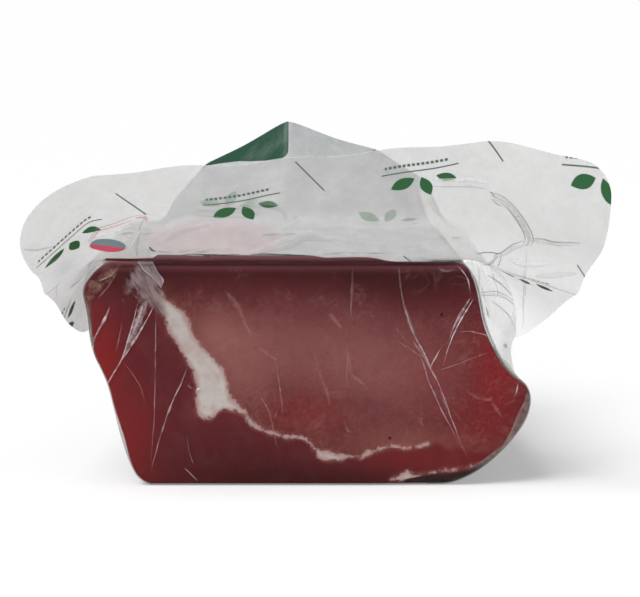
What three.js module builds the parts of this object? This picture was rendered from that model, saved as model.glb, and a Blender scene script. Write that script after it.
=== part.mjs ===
import * as THREE from "three";

// A vacuum pack of smoked pork loin: a thick cut of loin in a clear formed pocket, shut on top by a
// printed lid film. The lid's free flange has curled up in front and behind, and hangs down at the
// sides. Millimetres, +X right, +Y away from the cut face that shows, +Z up. The origin is the middle
// of the flat base that the pack rests on.

// --- Driving dimensions: the loin in its pocket ---

const FRONT_Y = -40; // the cut face that shows
const BACK_Y = 40; // the cut face behind
const LOIN_TOP = 56.5; // where the lid film presses the meat flat
const BACK_TAPER = 0.11; // how much narrower the piece is at the back

// The piece seen from the front, anticlockwise from its bottom left corner: [x, z]. The bottom is
// flat, the right has a notch where the pocket is drawn in, and the left shoulder stands out.
const LOIN_OUTLINE = [
  [-40, 0],
  [-5, 0],
  [30, 0],
  [35.5, 0.3],
  [40.5, 2.3],
  [45, 5.3],
  [50.5, 10.7],
  [54.7, 16.8],
  [55.8, 21.8],
  [54.6, 25.4],
  [50.8, 28.4],
  [48.4, 31.2],
  [44.3, 39.5],
  [41.3, 52],
  [38.6, 56],
  [10, 56.5],
  [-25, 56.5],
  [-50.5, 56.3],
  [-54.8, 53.4],
  [-57, 49.5],
  [-56, 43.2],
  [-55.4, 38.4],
  [-54.3, 33.2],
  [-51.2, 25.9],
  [-49.6, 19.8],
  [-47.5, 11.4],
  [-45, 4.3],
  [-43.2, 1.6],
];
const LOIN_MIDDLE = [-2, 28]; // where both cut faces close, [x, z]
const OUTLINE_SAMPLES = 84;
const SIDE_RINGS = 13;
const EDGE_RINGS = 3; // rings round each cut face's edge
const EDGE_DEPTH = 2.6; // how far back the front edge's rounding reaches
const BACK_EDGE = 4; // rounding of the back edge
const FACE_RINGS = [0.82, 0.5]; // rings inside a cut face, as shares of its outline
const FACE_BULGE = 0.8; // how far a cut face swells at its middle

// The front edge draws in a little all round, and more where smoked skin shows past the cut face.
const EDGE_INSET = 0.8;
const SKIN_INSETS = [
  { x: 49, z: 8, reach: 14, inset: 3 }, // under the right end
  { x: -55, z: 52, reach: 8, inset: 3 }, // the left shoulder
];
const SKIN_RELIEF = 0.7; // crags of the smoked skin along the sides
const RELIEF_START = 0.15; // share of the depth over which the crags grow behind the front edge
const RELIEF_FADE = 5; // the crags fade out over this height at the flat bottom and under the lid
const CRAG_WAVES = [
  { x: 7, y: 9, z: Infinity }, // millimetres to a radian along each axis
  { x: Infinity, y: -6, z: 5 },
  { x: Infinity, y: 3.5, z: 8 },
];

// --- Driving dimensions: the lid film ---

const LID_HEIGHT = 57.3; // middle of the film over the meat
const LID_THICKNESS = 0.6;
const FRONT_FLANGE = 38; // from the pocket's edge to the film's cut edge
const BACK_FLANGE = 28;
const BACK_POINT = 7; // how much longer the back flange is where it peaks
const PEAK_X = -6.5;
const PEAK_LEFT = 26; // the point's width to the left of its peak
const PEAK_RIGHT = 30;
const PEAK_ROUND = 2;
const POCKET_LEFT = [-52, -46.5]; // the pocket's left edge, in front and behind
const POCKET_RIGHT = [39, 35.5];
const FRONT_BEND = 5; // radius of the bend at the root of each flange
const BACK_BEND = 6;
const LEFT_BEND = 6;
const RIGHT_BEND = 8;
const CORNER = { frontLeft: 14, frontRight: 7, backLeft: 12, backRight: 12 }; // corner radii

// How the flanges bend, as [place along the root, value]: degrees up in front and behind, degrees
// down at the sides, and the width of the side flanges.
const FRONT_LIFT = [[-72, 33], [-45, 43.5], [-15, 48.5], [15, 55], [45, 60.5], [72, 42]];
const BACK_LIFT = [[-46, -25], [-38, 6.5], [-29, 27.5], [-6.5, 50], [18, 38], [32, 19], [38, -10]];
const LEFT_DROOP = [[-78, 10], [-60, 33], [-45, 30], [-30, 51], [-15, 70], [0, 78], [40, 80]];
const LEFT_WIDTH = [[-78, 21.5], [-60, 19.5], [-45, 16.6], [-30, 18.5], [-15, 24.5], [0, 28], [40, 25]];
const RIGHT_DROOP = [[-78, -3], [-60, 11], [-45, 15], [-30, 28], [-15, 48], [0, 66], [40, 76]];
const RIGHT_WIDTH = [[-78, 34], [-60, 33.8], [-45, 29.6], [-30, 28.4], [-15, 29.6], [0, 32], [40, 31]];

// Cells across the left flange, the pocket and the right flange, and from the front to the back.
const CELLS_ACROSS = [8, 18, 10];
const CELLS_DEEP = [13, 12, 9];
const RIPPLE = 0.4; // height of the film's slow waves at its free edge
const RIPPLE_ACROSS = 4; // millimetres to a radian
const RIPPLE_ALONG = 23;
const NORMAL_STEP = 1e-3; // step in u and v that the film's normals are measured over

// --- Small maths ---

const clamp = (value, low, high) => Math.min(Math.max(value, low), high);

// The span of a profile that a place falls in, and how far along it, 0 to 1.
function spanAt(stations, place) {
  let span = 0;
  while (span < stations.length - 2 && place > stations[span + 1][0]) span += 1;
  const [from, to] = [stations[span][0], stations[span + 1][0]];
  return { span, share: clamp((place - from) / (to - from), 0, 1), length: to - from };
}

// A profile's value on straight lines between its stations.
function straightProfile(stations, place) {
  const { span, share } = spanAt(stations, place);
  return THREE.MathUtils.lerp(stations[span][1], stations[span + 1][1], share);
}

// A profile's value on a smooth curve: a cubic whose slope at a station is the mean of the slopes
// to its neighbours.
function smoothProfile(stations, place) {
  const { span, share, length } = spanAt(stations, place);
  const slope = (i) => (stations[i + 1][1] - stations[i][1]) / (stations[i + 1][0] - stations[i][0]);
  const tangent = (i) => {
    const before = slope(Math.max(i - 1, 0));
    const after = slope(Math.min(i, stations.length - 2));
    return ((before + after) / 2) * length;
  };
  const [squared, cubed] = [share ** 2, share ** 3];
  return (
    (2 * cubed - 3 * squared + 1) * stations[span][1] +
    (cubed - 2 * squared + share) * tangent(span) +
    (3 * squared - 2 * cubed) * stations[span + 1][1] +
    (cubed - squared) * tangent(span + 1)
  );
}

// --- The loin in its pocket ---

// The outline as evenly spaced points, each with its normal pointing out.
function sampleOutline() {
  const corners = LOIN_OUTLINE.map(([x, z]) => new THREE.Vector3(x, 0, z));
  const curve = new THREE.CatmullRomCurve3(corners, true, "centripetal");
  const samples = [];
  for (let i = 0; i < OUTLINE_SAMPLES; i += 1) {
    const share = i / OUTLINE_SAMPLES;
    const point = curve.getPointAt(share);
    const tangent = curve.getTangentAt(share);
    samples.push({ x: point.x, z: clamp(point.z, 0, LOIN_TOP), outX: tangent.z, outZ: -tangent.x });
  }
  return samples;
}

// How far the front edge draws in at a point of the outline.
function frontInset({ x, z }) {
  const extra = SKIN_INSETS.map((skin) => {
    const away = Math.hypot(x - skin.x, z - skin.z) / skin.reach;
    return skin.inset * Math.exp(-(away ** 2));
  });
  return EDGE_INSET + extra.reduce((sum, part) => sum + part, 0);
}

// Crags of the skin: crossing waves that cut inwards, none on the flat bottom or under the lid.
function skinRelief(x, y, z) {
  const waves = CRAG_WAVES.map((wave) => Math.sin(x / wave.x + y / wave.y + z / wave.z) - 1);
  const depth = waves.reduce((sum, wave) => sum + wave, 0) / waves.length;
  const clearOfBottom = THREE.MathUtils.smoothstep(z, 0, RELIEF_FADE);
  const clearOfLid = 1 - THREE.MathUtils.smoothstep(z, LOIN_TOP - RELIEF_FADE, LOIN_TOP);
  return (SKIN_RELIEF / 2) * depth * clearOfBottom * clearOfLid;
}

// One ring round the piece at a depth y: the outline, narrowed towards the back, moved in by an
// inset, and with the skin's crags where relief is 1.
function loinRing(outline, y, insetOf, relief) {
  const narrowing = 1 - (BACK_TAPER * (y - FRONT_Y)) / (BACK_Y - FRONT_Y);
  return outline.map((sample) => {
    const out = relief * skinRelief(sample.x, y, sample.z) - insetOf(sample);
    const x = LOIN_MIDDLE[0] + (sample.x - LOIN_MIDDLE[0]) * narrowing + sample.outX * out;
    return new THREE.Vector3(x, y, clamp(sample.z + sample.outZ * out, 0, LOIN_TOP));
  });
}

// The rings inside a cut face: its edge ring shrunk to the middle, swelling as they go in.
function faceRings(edgeRing, side) {
  const y = edgeRing[0].y;
  const swell = (share) => y + side * FACE_BULGE * (1 - share ** 2);
  const rings = FACE_RINGS.map((share) =>
    edgeRing.map(
      (point) =>
        new THREE.Vector3(
          THREE.MathUtils.lerp(LOIN_MIDDLE[0], point.x, share),
          swell(share),
          THREE.MathUtils.lerp(LOIN_MIDDLE[1], point.z, share),
        ),
    ),
  );
  return { rings, pole: new THREE.Vector3(LOIN_MIDDLE[0], swell(0), LOIN_MIDDLE[1]) };
}

// A closed skin over rings of equal count, shut at each end by a pole.
function closedSkin(firstPole, rings, lastPole) {
  const count = rings[0].length;
  const points = [firstPole, ...rings.flat(), lastPole];
  const last = points.length - 1;
  const at = (ring, i) => 1 + ring * count + (i % count);
  const faces = [];
  for (let i = 0; i < count; i += 1) {
    faces.push(0, at(0, i), at(0, i + 1));
    faces.push(last, at(rings.length - 1, i + 1), at(rings.length - 1, i));
    for (let ring = 0; ring < rings.length - 1; ring += 1) {
      faces.push(at(ring, i), at(ring + 1, i), at(ring + 1, i + 1));
      faces.push(at(ring, i), at(ring + 1, i + 1), at(ring, i + 1));
    }
  }
  return new THREE.BufferGeometry().setFromPoints(points).setIndex(faces);
}

// The loin: front face, front edge on a quarter ellipse, sides, back edge and back face.
function loinGeometry() {
  const outline = sampleOutline();
  const rings = [];
  for (let i = 0; i < EDGE_RINGS; i += 1) {
    const turn = ((i / EDGE_RINGS) * Math.PI) / 2;
    const inset = (sample) => frontInset(sample) * (1 - Math.sin(turn));
    rings.push(loinRing(outline, FRONT_Y + EDGE_DEPTH * (1 - Math.cos(turn)), inset, 0));
  }
  const [sideFrom, sideTo] = [FRONT_Y + EDGE_DEPTH, BACK_Y - BACK_EDGE];
  for (let i = 0; i < SIDE_RINGS; i += 1) {
    const share = i / (SIDE_RINGS - 1);
    const relief = THREE.MathUtils.smoothstep(share, 0, RELIEF_START);
    rings.push(loinRing(outline, THREE.MathUtils.lerp(sideFrom, sideTo, share), () => 0, relief));
  }
  for (let i = 1; i <= EDGE_RINGS; i += 1) {
    const turn = ((i / EDGE_RINGS) * Math.PI) / 2;
    const inset = () => BACK_EDGE * (1 - Math.cos(turn));
    rings.push(loinRing(outline, sideTo + BACK_EDGE * Math.sin(turn), inset, 1));
  }
  const front = faceRings(rings[0], -1);
  const back = faceRings(rings[rings.length - 1], 1);
  return closedSkin(front.pole, [...front.rings.reverse(), ...rings, ...back.rings], back.pole);
}

// --- The lid film ---

// A strip bent round a radius: how far a point at a distance past the bend goes on, and how far up.
function bend(distance, degrees, radius) {
  const angle = THREE.MathUtils.degToRad(Math.abs(degrees));
  const turned = Math.min(distance, radius * angle) / radius;
  const straight = Math.max(distance - radius * angle, 0);
  return {
    along: radius * Math.sin(turned) + straight * Math.cos(angle),
    up: Math.sign(degrees) * (radius * (1 - Math.cos(turned)) + straight * Math.sin(angle)),
  };
}

// How much a round corner takes off the sheet's width at a distance from its cut edge.
function cornerCut(distance, radius) {
  const inside = radius - clamp(distance, 0, radius);
  return radius - Math.sqrt(radius ** 2 - inside ** 2);
}

// Length of the back flange: a blunt point that stands up as the peak behind.
function backLength(x) {
  const away = Math.hypot(x - PEAK_X, PEAK_ROUND) - PEAK_ROUND;
  const share = away / (x < PEAK_X ? PEAK_LEFT : PEAK_RIGHT);
  return BACK_FLANGE + BACK_POINT * clamp(1 - share, 0, 1);
}

// A point of the lid film. Across, u runs -1 to 0 over the left flange, 0 to 1 over the pocket and
// 1 to 2 over the right flange. Along, v does the same from the front flange to the back one.
function lidPoint(u, v) {
  const pocketShare = clamp(v, 0, 1);
  const pocketY = THREE.MathUtils.lerp(FRONT_Y, BACK_Y, pocketShare);
  const frontDistance = FRONT_FLANGE * Math.max(-v, 0);
  const backShare = Math.max(v - 1, 0);
  const flatY = pocketY - frontDistance + BACK_FLANGE * backShare;

  const fromFront = flatY - (FRONT_Y - FRONT_FLANGE);
  const fromBack = BACK_Y + BACK_FLANGE - flatY;
  const { frontLeft, frontRight, backLeft, backRight } = CORNER;
  const leftCut = cornerCut(fromFront, frontLeft) + cornerCut(fromBack, backLeft);
  const rightCut = cornerCut(fromFront, frontRight) + cornerCut(fromBack, backRight);
  const leftDistance = Math.max(-u, 0) * (smoothProfile(LEFT_WIDTH, flatY) - leftCut);
  const rightDistance = Math.max(u - 1, 0) * (smoothProfile(RIGHT_WIDTH, flatY) - rightCut);
  const pocketX = THREE.MathUtils.lerp(
    THREE.MathUtils.lerp(...POCKET_LEFT, pocketShare),
    THREE.MathUtils.lerp(...POCKET_RIGHT, pocketShare),
    clamp(u, 0, 1),
  );
  const flatX = pocketX - leftDistance + rightDistance;

  const left = bend(leftDistance, -smoothProfile(LEFT_DROOP, flatY), LEFT_BEND);
  const right = bend(rightDistance, -smoothProfile(RIGHT_DROOP, flatY), RIGHT_BEND);
  const front = bend(frontDistance, smoothProfile(FRONT_LIFT, flatX), FRONT_BEND);
  const back = bend(backShare * backLength(flatX), straightProfile(BACK_LIFT, flatX), BACK_BEND);
  const free = clamp((frontDistance + backShare * BACK_FLANGE) / FRONT_FLANGE, 0, 1);
  const ripple = RIPPLE * free * Math.sin(flatX / RIPPLE_ACROSS + flatY / RIPPLE_ALONG);
  return new THREE.Vector3(
    pocketX - left.along + right.along,
    pocketY - front.along + back.along,
    LID_HEIGHT + left.up + right.up + front.up + back.up + ripple,
  );
}

// Evenly spaced places over three spans, -1 to 0, 0 to 1 and 1 to 2. They crowd together by an
// eased step towards both cut edges, where the round corners need them.
function threeSpans(cells) {
  const ease = (share) => Math.sin((share * Math.PI) / 2);
  const places = [];
  for (let i = 0; i < cells[0]; i += 1) places.push(-ease(1 - i / cells[0]));
  for (let i = 0; i < cells[1]; i += 1) places.push(i / cells[1]);
  for (let i = 0; i <= cells[2]; i += 1) places.push(1 + ease(i / cells[2]));
  return places;
}

// A thin solid on both sides of a sheet: its middle surface moved half the thickness each way along
// the normal, with a rim between the two skins.
function sheetSolid(surface, across, along, thickness) {
  const [columns, rows] = [across.length, along.length];
  const skins = [[], []];
  for (const v of along) {
    for (const u of across) {
      const rightward = surface(u + NORMAL_STEP, v).sub(surface(u - NORMAL_STEP, v));
      const backward = surface(u, v + NORMAL_STEP).sub(surface(u, v - NORMAL_STEP));
      const normal = rightward.cross(backward).normalize();
      const middle = surface(u, v);
      skins[0].push(middle.clone().addScaledVector(normal, thickness / 2));
      skins[1].push(middle.clone().addScaledVector(normal, -thickness / 2));
    }
  }
  const at = (skin, column, row) => skin * columns * rows + row * columns + column;
  const faces = [];
  for (let row = 0; row < rows - 1; row += 1) {
    for (let column = 0; column < columns - 1; column += 1) {
      for (const skin of [0, 1]) {
        const near = [at(skin, column, row), at(skin, column + 1, row)];
        const far = [at(skin, column, row + 1), at(skin, column + 1, row + 1)];
        const quad = [near[0], near[1], far[1], near[0], far[1], far[0]];
        faces.push(...(skin === 0 ? quad : quad.reverse()));
      }
    }
  }
  const rim = [];
  for (let column = 0; column < columns - 1; column += 1) rim.push([column, 0]);
  for (let row = 0; row < rows - 1; row += 1) rim.push([columns - 1, row]);
  for (let column = columns - 1; column > 0; column -= 1) rim.push([column, rows - 1]);
  for (let row = rows - 1; row > 0; row -= 1) rim.push([0, row]);
  rim.forEach((here, i) => {
    const next = rim[(i + 1) % rim.length];
    const [upper, upperNext] = [at(0, ...here), at(0, ...next)];
    const [lower, lowerNext] = [at(1, ...here), at(1, ...next)];
    faces.push(upper, lower, lowerNext, upper, lowerNext, upperNext);
  });
  return new THREE.BufferGeometry().setFromPoints(skins.flat()).setIndex(faces);
}

// --- Materials and the pack ---

const meatInPocket = new THREE.MeshStandardMaterial({ color: 0x74383a, roughness: 0.3, metalness: 0 });
const lidFilm = new THREE.MeshStandardMaterial({
  color: 0xd8d7d5,
  roughness: 0.35,
  metalness: 0,
  transparent: true,
  opacity: 0.6,
  side: THREE.DoubleSide,
});

function namedMesh(name, geometry, material) {
  geometry.computeVertexNormals();
  const mesh = new THREE.Mesh(geometry, material);
  mesh.name = name;
  return mesh;
}

const lidGeometry = sheetSolid(lidPoint, threeSpans(CELLS_ACROSS), threeSpans(CELLS_DEEP), LID_THICKNESS);

const pack = new THREE.Group();
pack.add(namedMesh("loin", loinGeometry(), meatInPocket));
pack.add(namedMesh("lid_film", lidGeometry, lidFilm));

export default pack;
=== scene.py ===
import math

import bpy
import numpy as np
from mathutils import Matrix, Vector


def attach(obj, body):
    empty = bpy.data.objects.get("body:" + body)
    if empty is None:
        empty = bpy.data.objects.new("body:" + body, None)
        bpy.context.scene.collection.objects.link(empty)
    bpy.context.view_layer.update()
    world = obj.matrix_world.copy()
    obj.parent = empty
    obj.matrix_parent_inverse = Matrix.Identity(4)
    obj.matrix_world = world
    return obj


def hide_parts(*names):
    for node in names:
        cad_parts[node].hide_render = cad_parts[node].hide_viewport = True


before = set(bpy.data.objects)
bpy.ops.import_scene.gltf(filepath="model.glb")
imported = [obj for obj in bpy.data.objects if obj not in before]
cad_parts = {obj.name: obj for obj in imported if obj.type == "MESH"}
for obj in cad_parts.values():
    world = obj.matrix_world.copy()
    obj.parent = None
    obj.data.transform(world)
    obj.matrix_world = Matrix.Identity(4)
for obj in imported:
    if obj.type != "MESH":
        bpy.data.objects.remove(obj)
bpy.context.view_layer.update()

# --- Camera and studio ---------------------------------------------------------------------------
# A long lens looks a little down on the cut face. The pack stands on a white sweep under one broad
# soft light overhead, a little to the left, with a narrow soft light at each side for the film.

MM = 0.001
VIEW_DISTANCE = 900  # millimetres from the lens to the cut face
VIEW_ELEVATION = math.radians(8)
VIEW_WIDTH = 160  # millimetres across the picture, at the cut face
SENSOR = 36
VIEW_PIVOT = (2.5, -40, 44)
VIEW_RISE = 3.55

forward = np.array([0, math.cos(VIEW_ELEVATION), -math.sin(VIEW_ELEVATION)])
upward = np.array([0, math.sin(VIEW_ELEVATION), math.cos(VIEW_ELEVATION)])
lens = bpy.data.cameras.new("camera")
lens.sensor_width = SENSOR
lens.lens = SENSOR * VIEW_DISTANCE / VIEW_WIDTH
camera = bpy.data.objects.new("camera", lens)
camera.location = (np.array(VIEW_PIVOT) + VIEW_RISE * upward - VIEW_DISTANCE * forward) * MM
camera.rotation_euler = (math.pi / 2 - VIEW_ELEVATION, 0, 0)
bpy.context.collection.objects.link(camera)
bpy.context.scene.camera = camera
bpy.context.scene.view_settings.view_transform = "Standard"
bpy.context.scene.cycles.transparent_max_bounces = 24


class Signal:
    """One output of a material's nodes. Arithmetic on it adds Math nodes."""

    def __init__(self, finish, socket):
        self.finish, self.socket = finish, socket

    def maths(self, operation, *values):
        sockets = dict(enumerate(values))
        return self.finish.node("ShaderNodeMath", {"operation": operation}, sockets)

    def __add__(self, other):
        return self.maths("ADD", self, other)

    def __sub__(self, other):
        return self.maths("SUBTRACT", self, other)

    def __rsub__(self, other):
        return self.maths("SUBTRACT", other, self)

    def __mul__(self, other):
        return self.maths("MULTIPLY", self, other)

    def __truediv__(self, other):
        return self.maths("DIVIDE", self, other)

    def __pow__(self, other):
        return self.maths("POWER", self, other)

    __radd__, __rmul__ = __add__, __mul__

    def absolute(self):
        return self.maths("ABSOLUTE", self)

    def lower(self, other):
        return self.maths("MINIMUM", self, other)

    def higher(self, other):
        return self.maths("MAXIMUM", self, other)

    def part(self):
        return self.lower(1).higher(0)

    def floor(self):
        return self.maths("FLOOR", self)

    def wrapped(self, length):
        return self.maths("FLOORED_MODULO", self, length)

    def step(self, start, end):
        """0 before start and 1 past end, with an eased slope between them."""
        settings = {"interpolation_type": "SMOOTHSTEP"}
        sockets = {"Value": self, "From Min": start, "From Max": end}
        return self.finish.node("ShaderNodeMapRange", settings, sockets)


class Finish:
    """A material, or the studio's light, and the nodes it is written with."""

    def __init__(self, owner):
        owner.use_nodes = True
        self.owner, self.tree = owner, owner.node_tree
        self.tree.nodes.clear()

    def node(self, kind, settings=None, sockets=None, output=0):
        made = self.tree.nodes.new(kind)
        for name, value in (settings or {}).items():
            setattr(made, name, value)
        for key, value in (sockets or {}).items():
            if isinstance(value, Signal):
                self.tree.links.new(value.socket, made.inputs[key])
            else:
                made.inputs[key].default_value = value
        return Signal(self, made.outputs[output])

    def surface(self, shader, output="ShaderNodeOutputMaterial"):
        self.tree.links.new(shader.socket, self.tree.nodes.new(output).inputs["Surface"])

    def attribute(self, name, output="Fac"):
        return self.node("ShaderNodeAttribute", {"attribute_name": name}, {}, output)

    def place(self, scale=(1, 1, 1), turn=(0, 0, 0)):
        """Object coordinates in millimetres, turned, then multiplied by a scale along each axis."""
        here = self.node("ShaderNodeTexCoord", {}, {}, "Object")
        turned = self.node("ShaderNodeMapping", {}, {"Vector": here, "Rotation": turn})
        sockets = {"Vector": turned, "Scale": [s / MM for s in scale]}
        return self.node("ShaderNodeMapping", {}, sockets)

    def noise(self, place, scale, detail=2.0, roughness=0.5, distortion=0.0):
        sockets = {"Vector": place, "Scale": scale, "Detail": detail}
        sockets |= {"Roughness": roughness, "Distortion": distortion}
        return self.node("ShaderNodeTexNoise", {}, sockets)

    def blend(self, share, first, second):
        sockets = {0: share, 6: first, 7: second}
        return self.node("ShaderNodeMix", {"data_type": "RGBA"}, sockets, 2)

    def layers(self, colour, *coats):
        """A colour under its coats. Each is a share, and the colour that it lays over the others."""
        for share, coat in coats:
            colour = self.blend(share, colour, coat)
        return colour

    def bump(self, height, distance, strength):
        sockets = {"Height": height, "Distance": distance * MM, "Strength": strength}
        return self.node("ShaderNodeBump", {}, sockets)

    def either(self, share, first, second):
        return self.node("ShaderNodeMixShader", {}, {0: share, 1: first, 2: second})


def tint(red, green, blue):
    """A colour in the light's own proportions, from its usual 0 to 255 numbers."""
    shares = np.array([red, green, blue]) / 255
    linear = np.where(shares < 0.04045, shares / 12.92, ((shares + 0.055) / 1.055) ** 2.4)
    return (*linear.tolist(), 1.0)


WORLD_LIGHT = 0.28
WORLD_GLOSS = 0.8  # what the film's shine sees of the white studio
FLOOR_COLOUR = (0.66, 0.66, 0.66, 1)
FLOOR_GLOW = 0.34  # lifts the far sweep to white in the picture
FLOOR_REACH = 6.0  # metres, as the lamps' places and sizes are
OVERHEAD_PLACE = (-0.5, -0.42, 1)
OVERHEAD_SPREAD = math.radians(40)
LEFT_PLACE = (-0.55, -0.75, 0.3)
RIGHT_PLACE = (0.75, -0.5, 0.25)
STRIP_AIM = (0, 0, 0.04)
STRIP = {"shape": "RECTANGLE", "size": 0.05}

studio = Finish(bpy.data.worlds.new("studio"))
seen = studio.node("ShaderNodeLightPath", {}, {}, "Is Camera Ray")
mirrored = studio.node("ShaderNodeLightPath", {}, {}, "Is Glossy Ray")
level = seen * (1 - WORLD_LIGHT) + mirrored * (WORLD_GLOSS - WORLD_LIGHT) + WORLD_LIGHT
backdrop = studio.node("ShaderNodeBackground", {}, {"Strength": level})
studio.surface(backdrop, "ShaderNodeOutputWorld")
bpy.context.scene.world = studio.owner

sweep = Finish(bpy.data.materials.new("white_sweep"))
paper = sweep.node("ShaderNodeBsdfDiffuse", {}, {"Color": FLOOR_COLOUR})
glow_share = sweep.node("ShaderNodeLightPath", {}, {}, "Is Camera Ray") * FLOOR_GLOW
glow = sweep.node("ShaderNodeEmission", {}, {"Strength": glow_share})
sweep.surface(sweep.node("ShaderNodeAddShader", {}, {0: paper, 1: glow}))

floor_mesh = bpy.data.meshes.new("floor")
quarters = ((-1, -1), (1, -1), (1, 1), (-1, 1))
corners = [(x * FLOOR_REACH, y * FLOOR_REACH, 0) for x, y in quarters]
floor_mesh.from_pydata(corners, [], [(0, 1, 2, 3)])
floor_mesh.materials.append(sweep.owner)
floor = bpy.data.objects.new("floor", floor_mesh)
bpy.context.collection.objects.link(floor)


def add_light(name, kind, place, aim, **settings):
    """A lamp in metres that looks from its place at its aim."""
    lamp = bpy.data.lights.new(name, kind)
    for key, value in settings.items():
        setattr(lamp, key, value)
    light = bpy.data.objects.new(name, lamp)
    light.location = place
    towards = Vector(aim) - Vector(place)
    light.rotation_euler = towards.to_track_quat("-Z", "Y").to_euler()
    bpy.context.collection.objects.link(light)


add_light("overhead", "SUN", OVERHEAD_PLACE, (0, 0, 0), energy=2.85, angle=OVERHEAD_SPREAD)
add_light("left_strip", "AREA", LEFT_PLACE, STRIP_AIM, **STRIP, energy=0.9, size_y=0.7)
add_light("right_strip", "AREA", RIGHT_PLACE, STRIP_AIM, **STRIP, energy=0.5, size_y=0.6)

# --- The smoked loin -----------------------------------------------------------------------------
# A thick cut of cured and smoked pork loin, pressed flat under the lid. Its eye muscle is pale
# pink, the muscle round it dark red, with a thick fat seam between, and its outside is brown skin.

FRONT_Y = -40
BACK_Y = 40
BACK_TAPER = 0.11
LOIN_HEIGHT = 56.5
LOIN_OUTLINE = np.array([
    (-40, 0), (-5, 0), (30, 0), (35.5, 0.3), (40.5, 2.3), (45, 5.3), (50.5, 10.7), (54.7, 16.8),
    (55.8, 21.8), (54.6, 25.4), (50.8, 28.4), (48.4, 31.2), (44.3, 39.5), (41.3, 52), (38.6, 56),
    (10, 56.5), (-25, 56.5), (-50.5, 56.3), (-54.8, 53.4), (-57, 49.5), (-56, 43.2),
    (-55.4, 38.4), (-54.3, 33.2), (-51.2, 25.9), (-49.6, 19.8), (-47.5, 11.4), (-45, 4.3),
    (-43.2, 1.6),
])  # x and z, anticlockwise seen from the front
LOIN_MIDDLE = np.array([-2, 28])
EDGE_DEPTH = 2.6
BACK_EDGE = 4
EDGE_INSET = 0.6
SKIN_INSETS = [(33, 0, 9, 2.3), (46, 6, 6, 0.9), (54.5, 17, 6.5, 2.2), (-55, 52, 8, 2.6)]
FACE_BULGE = 0.8
CRAG_WAVES = [(1 / 7, 1 / 9, 0), (0, -1 / 6, 1 / 5), (0, 1 / 3.5, 1 / 8)]  # radians a millimetre
CRAG_DEPTH = 0.7
CRAG_FADE = 5
FINE_RELIEF = [(1.0, 2.6, 3), (0.5, 1.2, 4)]  # height, size and seed of the meat's fine bumps
FINE_SINK = 0.6
FILM_GAP = 0.25  # from the meat to the outside of the pocket film
LOOSE_FILM = [(-48, 12, 5, 0.5), (-56, 41, 4, 0.3)]  # where the film stands off
POLE_SHARE = 0.008  # of a cut face's edge ring, for the ring nearest its middle
CURVE_STEPS = 40  # from each corner of an outline to the next
LATTICE = 16  # random numbers along each axis, after which they repeat


def ease(value, start, end):
    """0 before start, 1 past end, and between them three squares less two cubes of the share."""
    share = np.clip((value - start) / (end - start), 0, 1)
    return share * share * (3 - 2 * share)


def cubic(t, start, leave, end, arrive):
    """A cubic for t from 0 to 1, with a value and a slope at its start and at its end."""
    opening = (2 * t**3 - 3 * t**2 + 1) * start + (t**3 - 2 * t**2 + t) * leave
    return opening + (3 * t**2 - 2 * t**3) * end + (t**3 - t**2) * arrive


def closed_curve(corners, count):
    """Evenly spaced points on a closed curve through the corners. Between two corners it is a cubic
    whose end slopes come from the neighbouring chords, each over the square root of its length."""
    before, start, end, after = (np.roll(corners, shift, 0) for shift in (1, 0, -1, -2))
    d0, d1, d2 = (
        np.sqrt(np.linalg.norm(b - a, axis=1))[:, None]
        for a, b in ((before, start), (start, end), (end, after))
    )
    leave = ((start - before) / d0 - (end - before) / (d0 + d1) + (end - start) / d1) * d1
    arrive = ((end - start) / d1 - (after - start) / (d1 + d2) + (after - end) / d2) * d1
    t = np.linspace(0, 1, CURVE_STEPS, endpoint=False)[None, :, None]
    curve = cubic(t, *(values[:, None] for values in (start, leave, end, arrive)))
    curve = np.vstack([curve.reshape(-1, 2), corners[:1]])
    length = np.concatenate([[0], np.cumsum(np.linalg.norm(np.diff(curve, axis=0), axis=1))])
    places = np.linspace(0, length[-1], count, endpoint=False)
    return np.stack([np.interp(places, length, curve[:, i]) for i in (0, 1)], 1)


def outward(outline):
    """The normals of an anticlockwise outline: its tangents turned a quarter to the right."""
    tangent = np.roll(outline, -1, 0) - np.roll(outline, 1, 0)
    tangent = tangent / np.linalg.norm(tangent, axis=1)[:, None]
    return np.stack([tangent[:, 1], -tangent[:, 0]], 1)


def cloud(points, size, seed):
    """Smooth noise from -1 to 1: random numbers on a lattice of the given size in millimetres, a
    size for each axis or one for all, blended between the eight nearest by eased shares."""
    random = np.random.default_rng(seed).uniform(-1, 1, (LATTICE,) * 3)
    scaled = np.asarray(points) / size
    base = np.floor(scaled).astype(int)
    share = ease(scaled - base, 0, 1)
    total = 0
    for corner in np.ndindex(2, 2, 2):
        weight = np.prod(np.where(corner, share, 1 - share), axis=-1)
        x, y, z = np.moveaxis((base + corner) % LATTICE, -1, 0)
        total = total + weight * random[x, y, z]
    return total


def hills(x, z, table):
    """A sum of soft round hills, each with its middle's x and z, its reach and its height."""
    return sum(
        height * np.exp(-((x - at_x) ** 2 + (z - at_z) ** 2) / reach**2)
        for at_x, at_z, reach, height in table
    )


def skin_crags(points):
    """How far the skin stands out: three crossing waves cut in, which fade out near the flat bottom
    and under the lid."""
    waves = sum(np.sin(points @ np.array(wave)) - 1 for wave in CRAG_WAVES) / len(CRAG_WAVES)
    height = points[..., 2]
    clear = ease(height, 0, CRAG_FADE) * (1 - ease(height, LOIN_HEIGHT - CRAG_FADE, LOIN_HEIGHT))
    return CRAG_DEPTH / 2 * waves * clear


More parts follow.
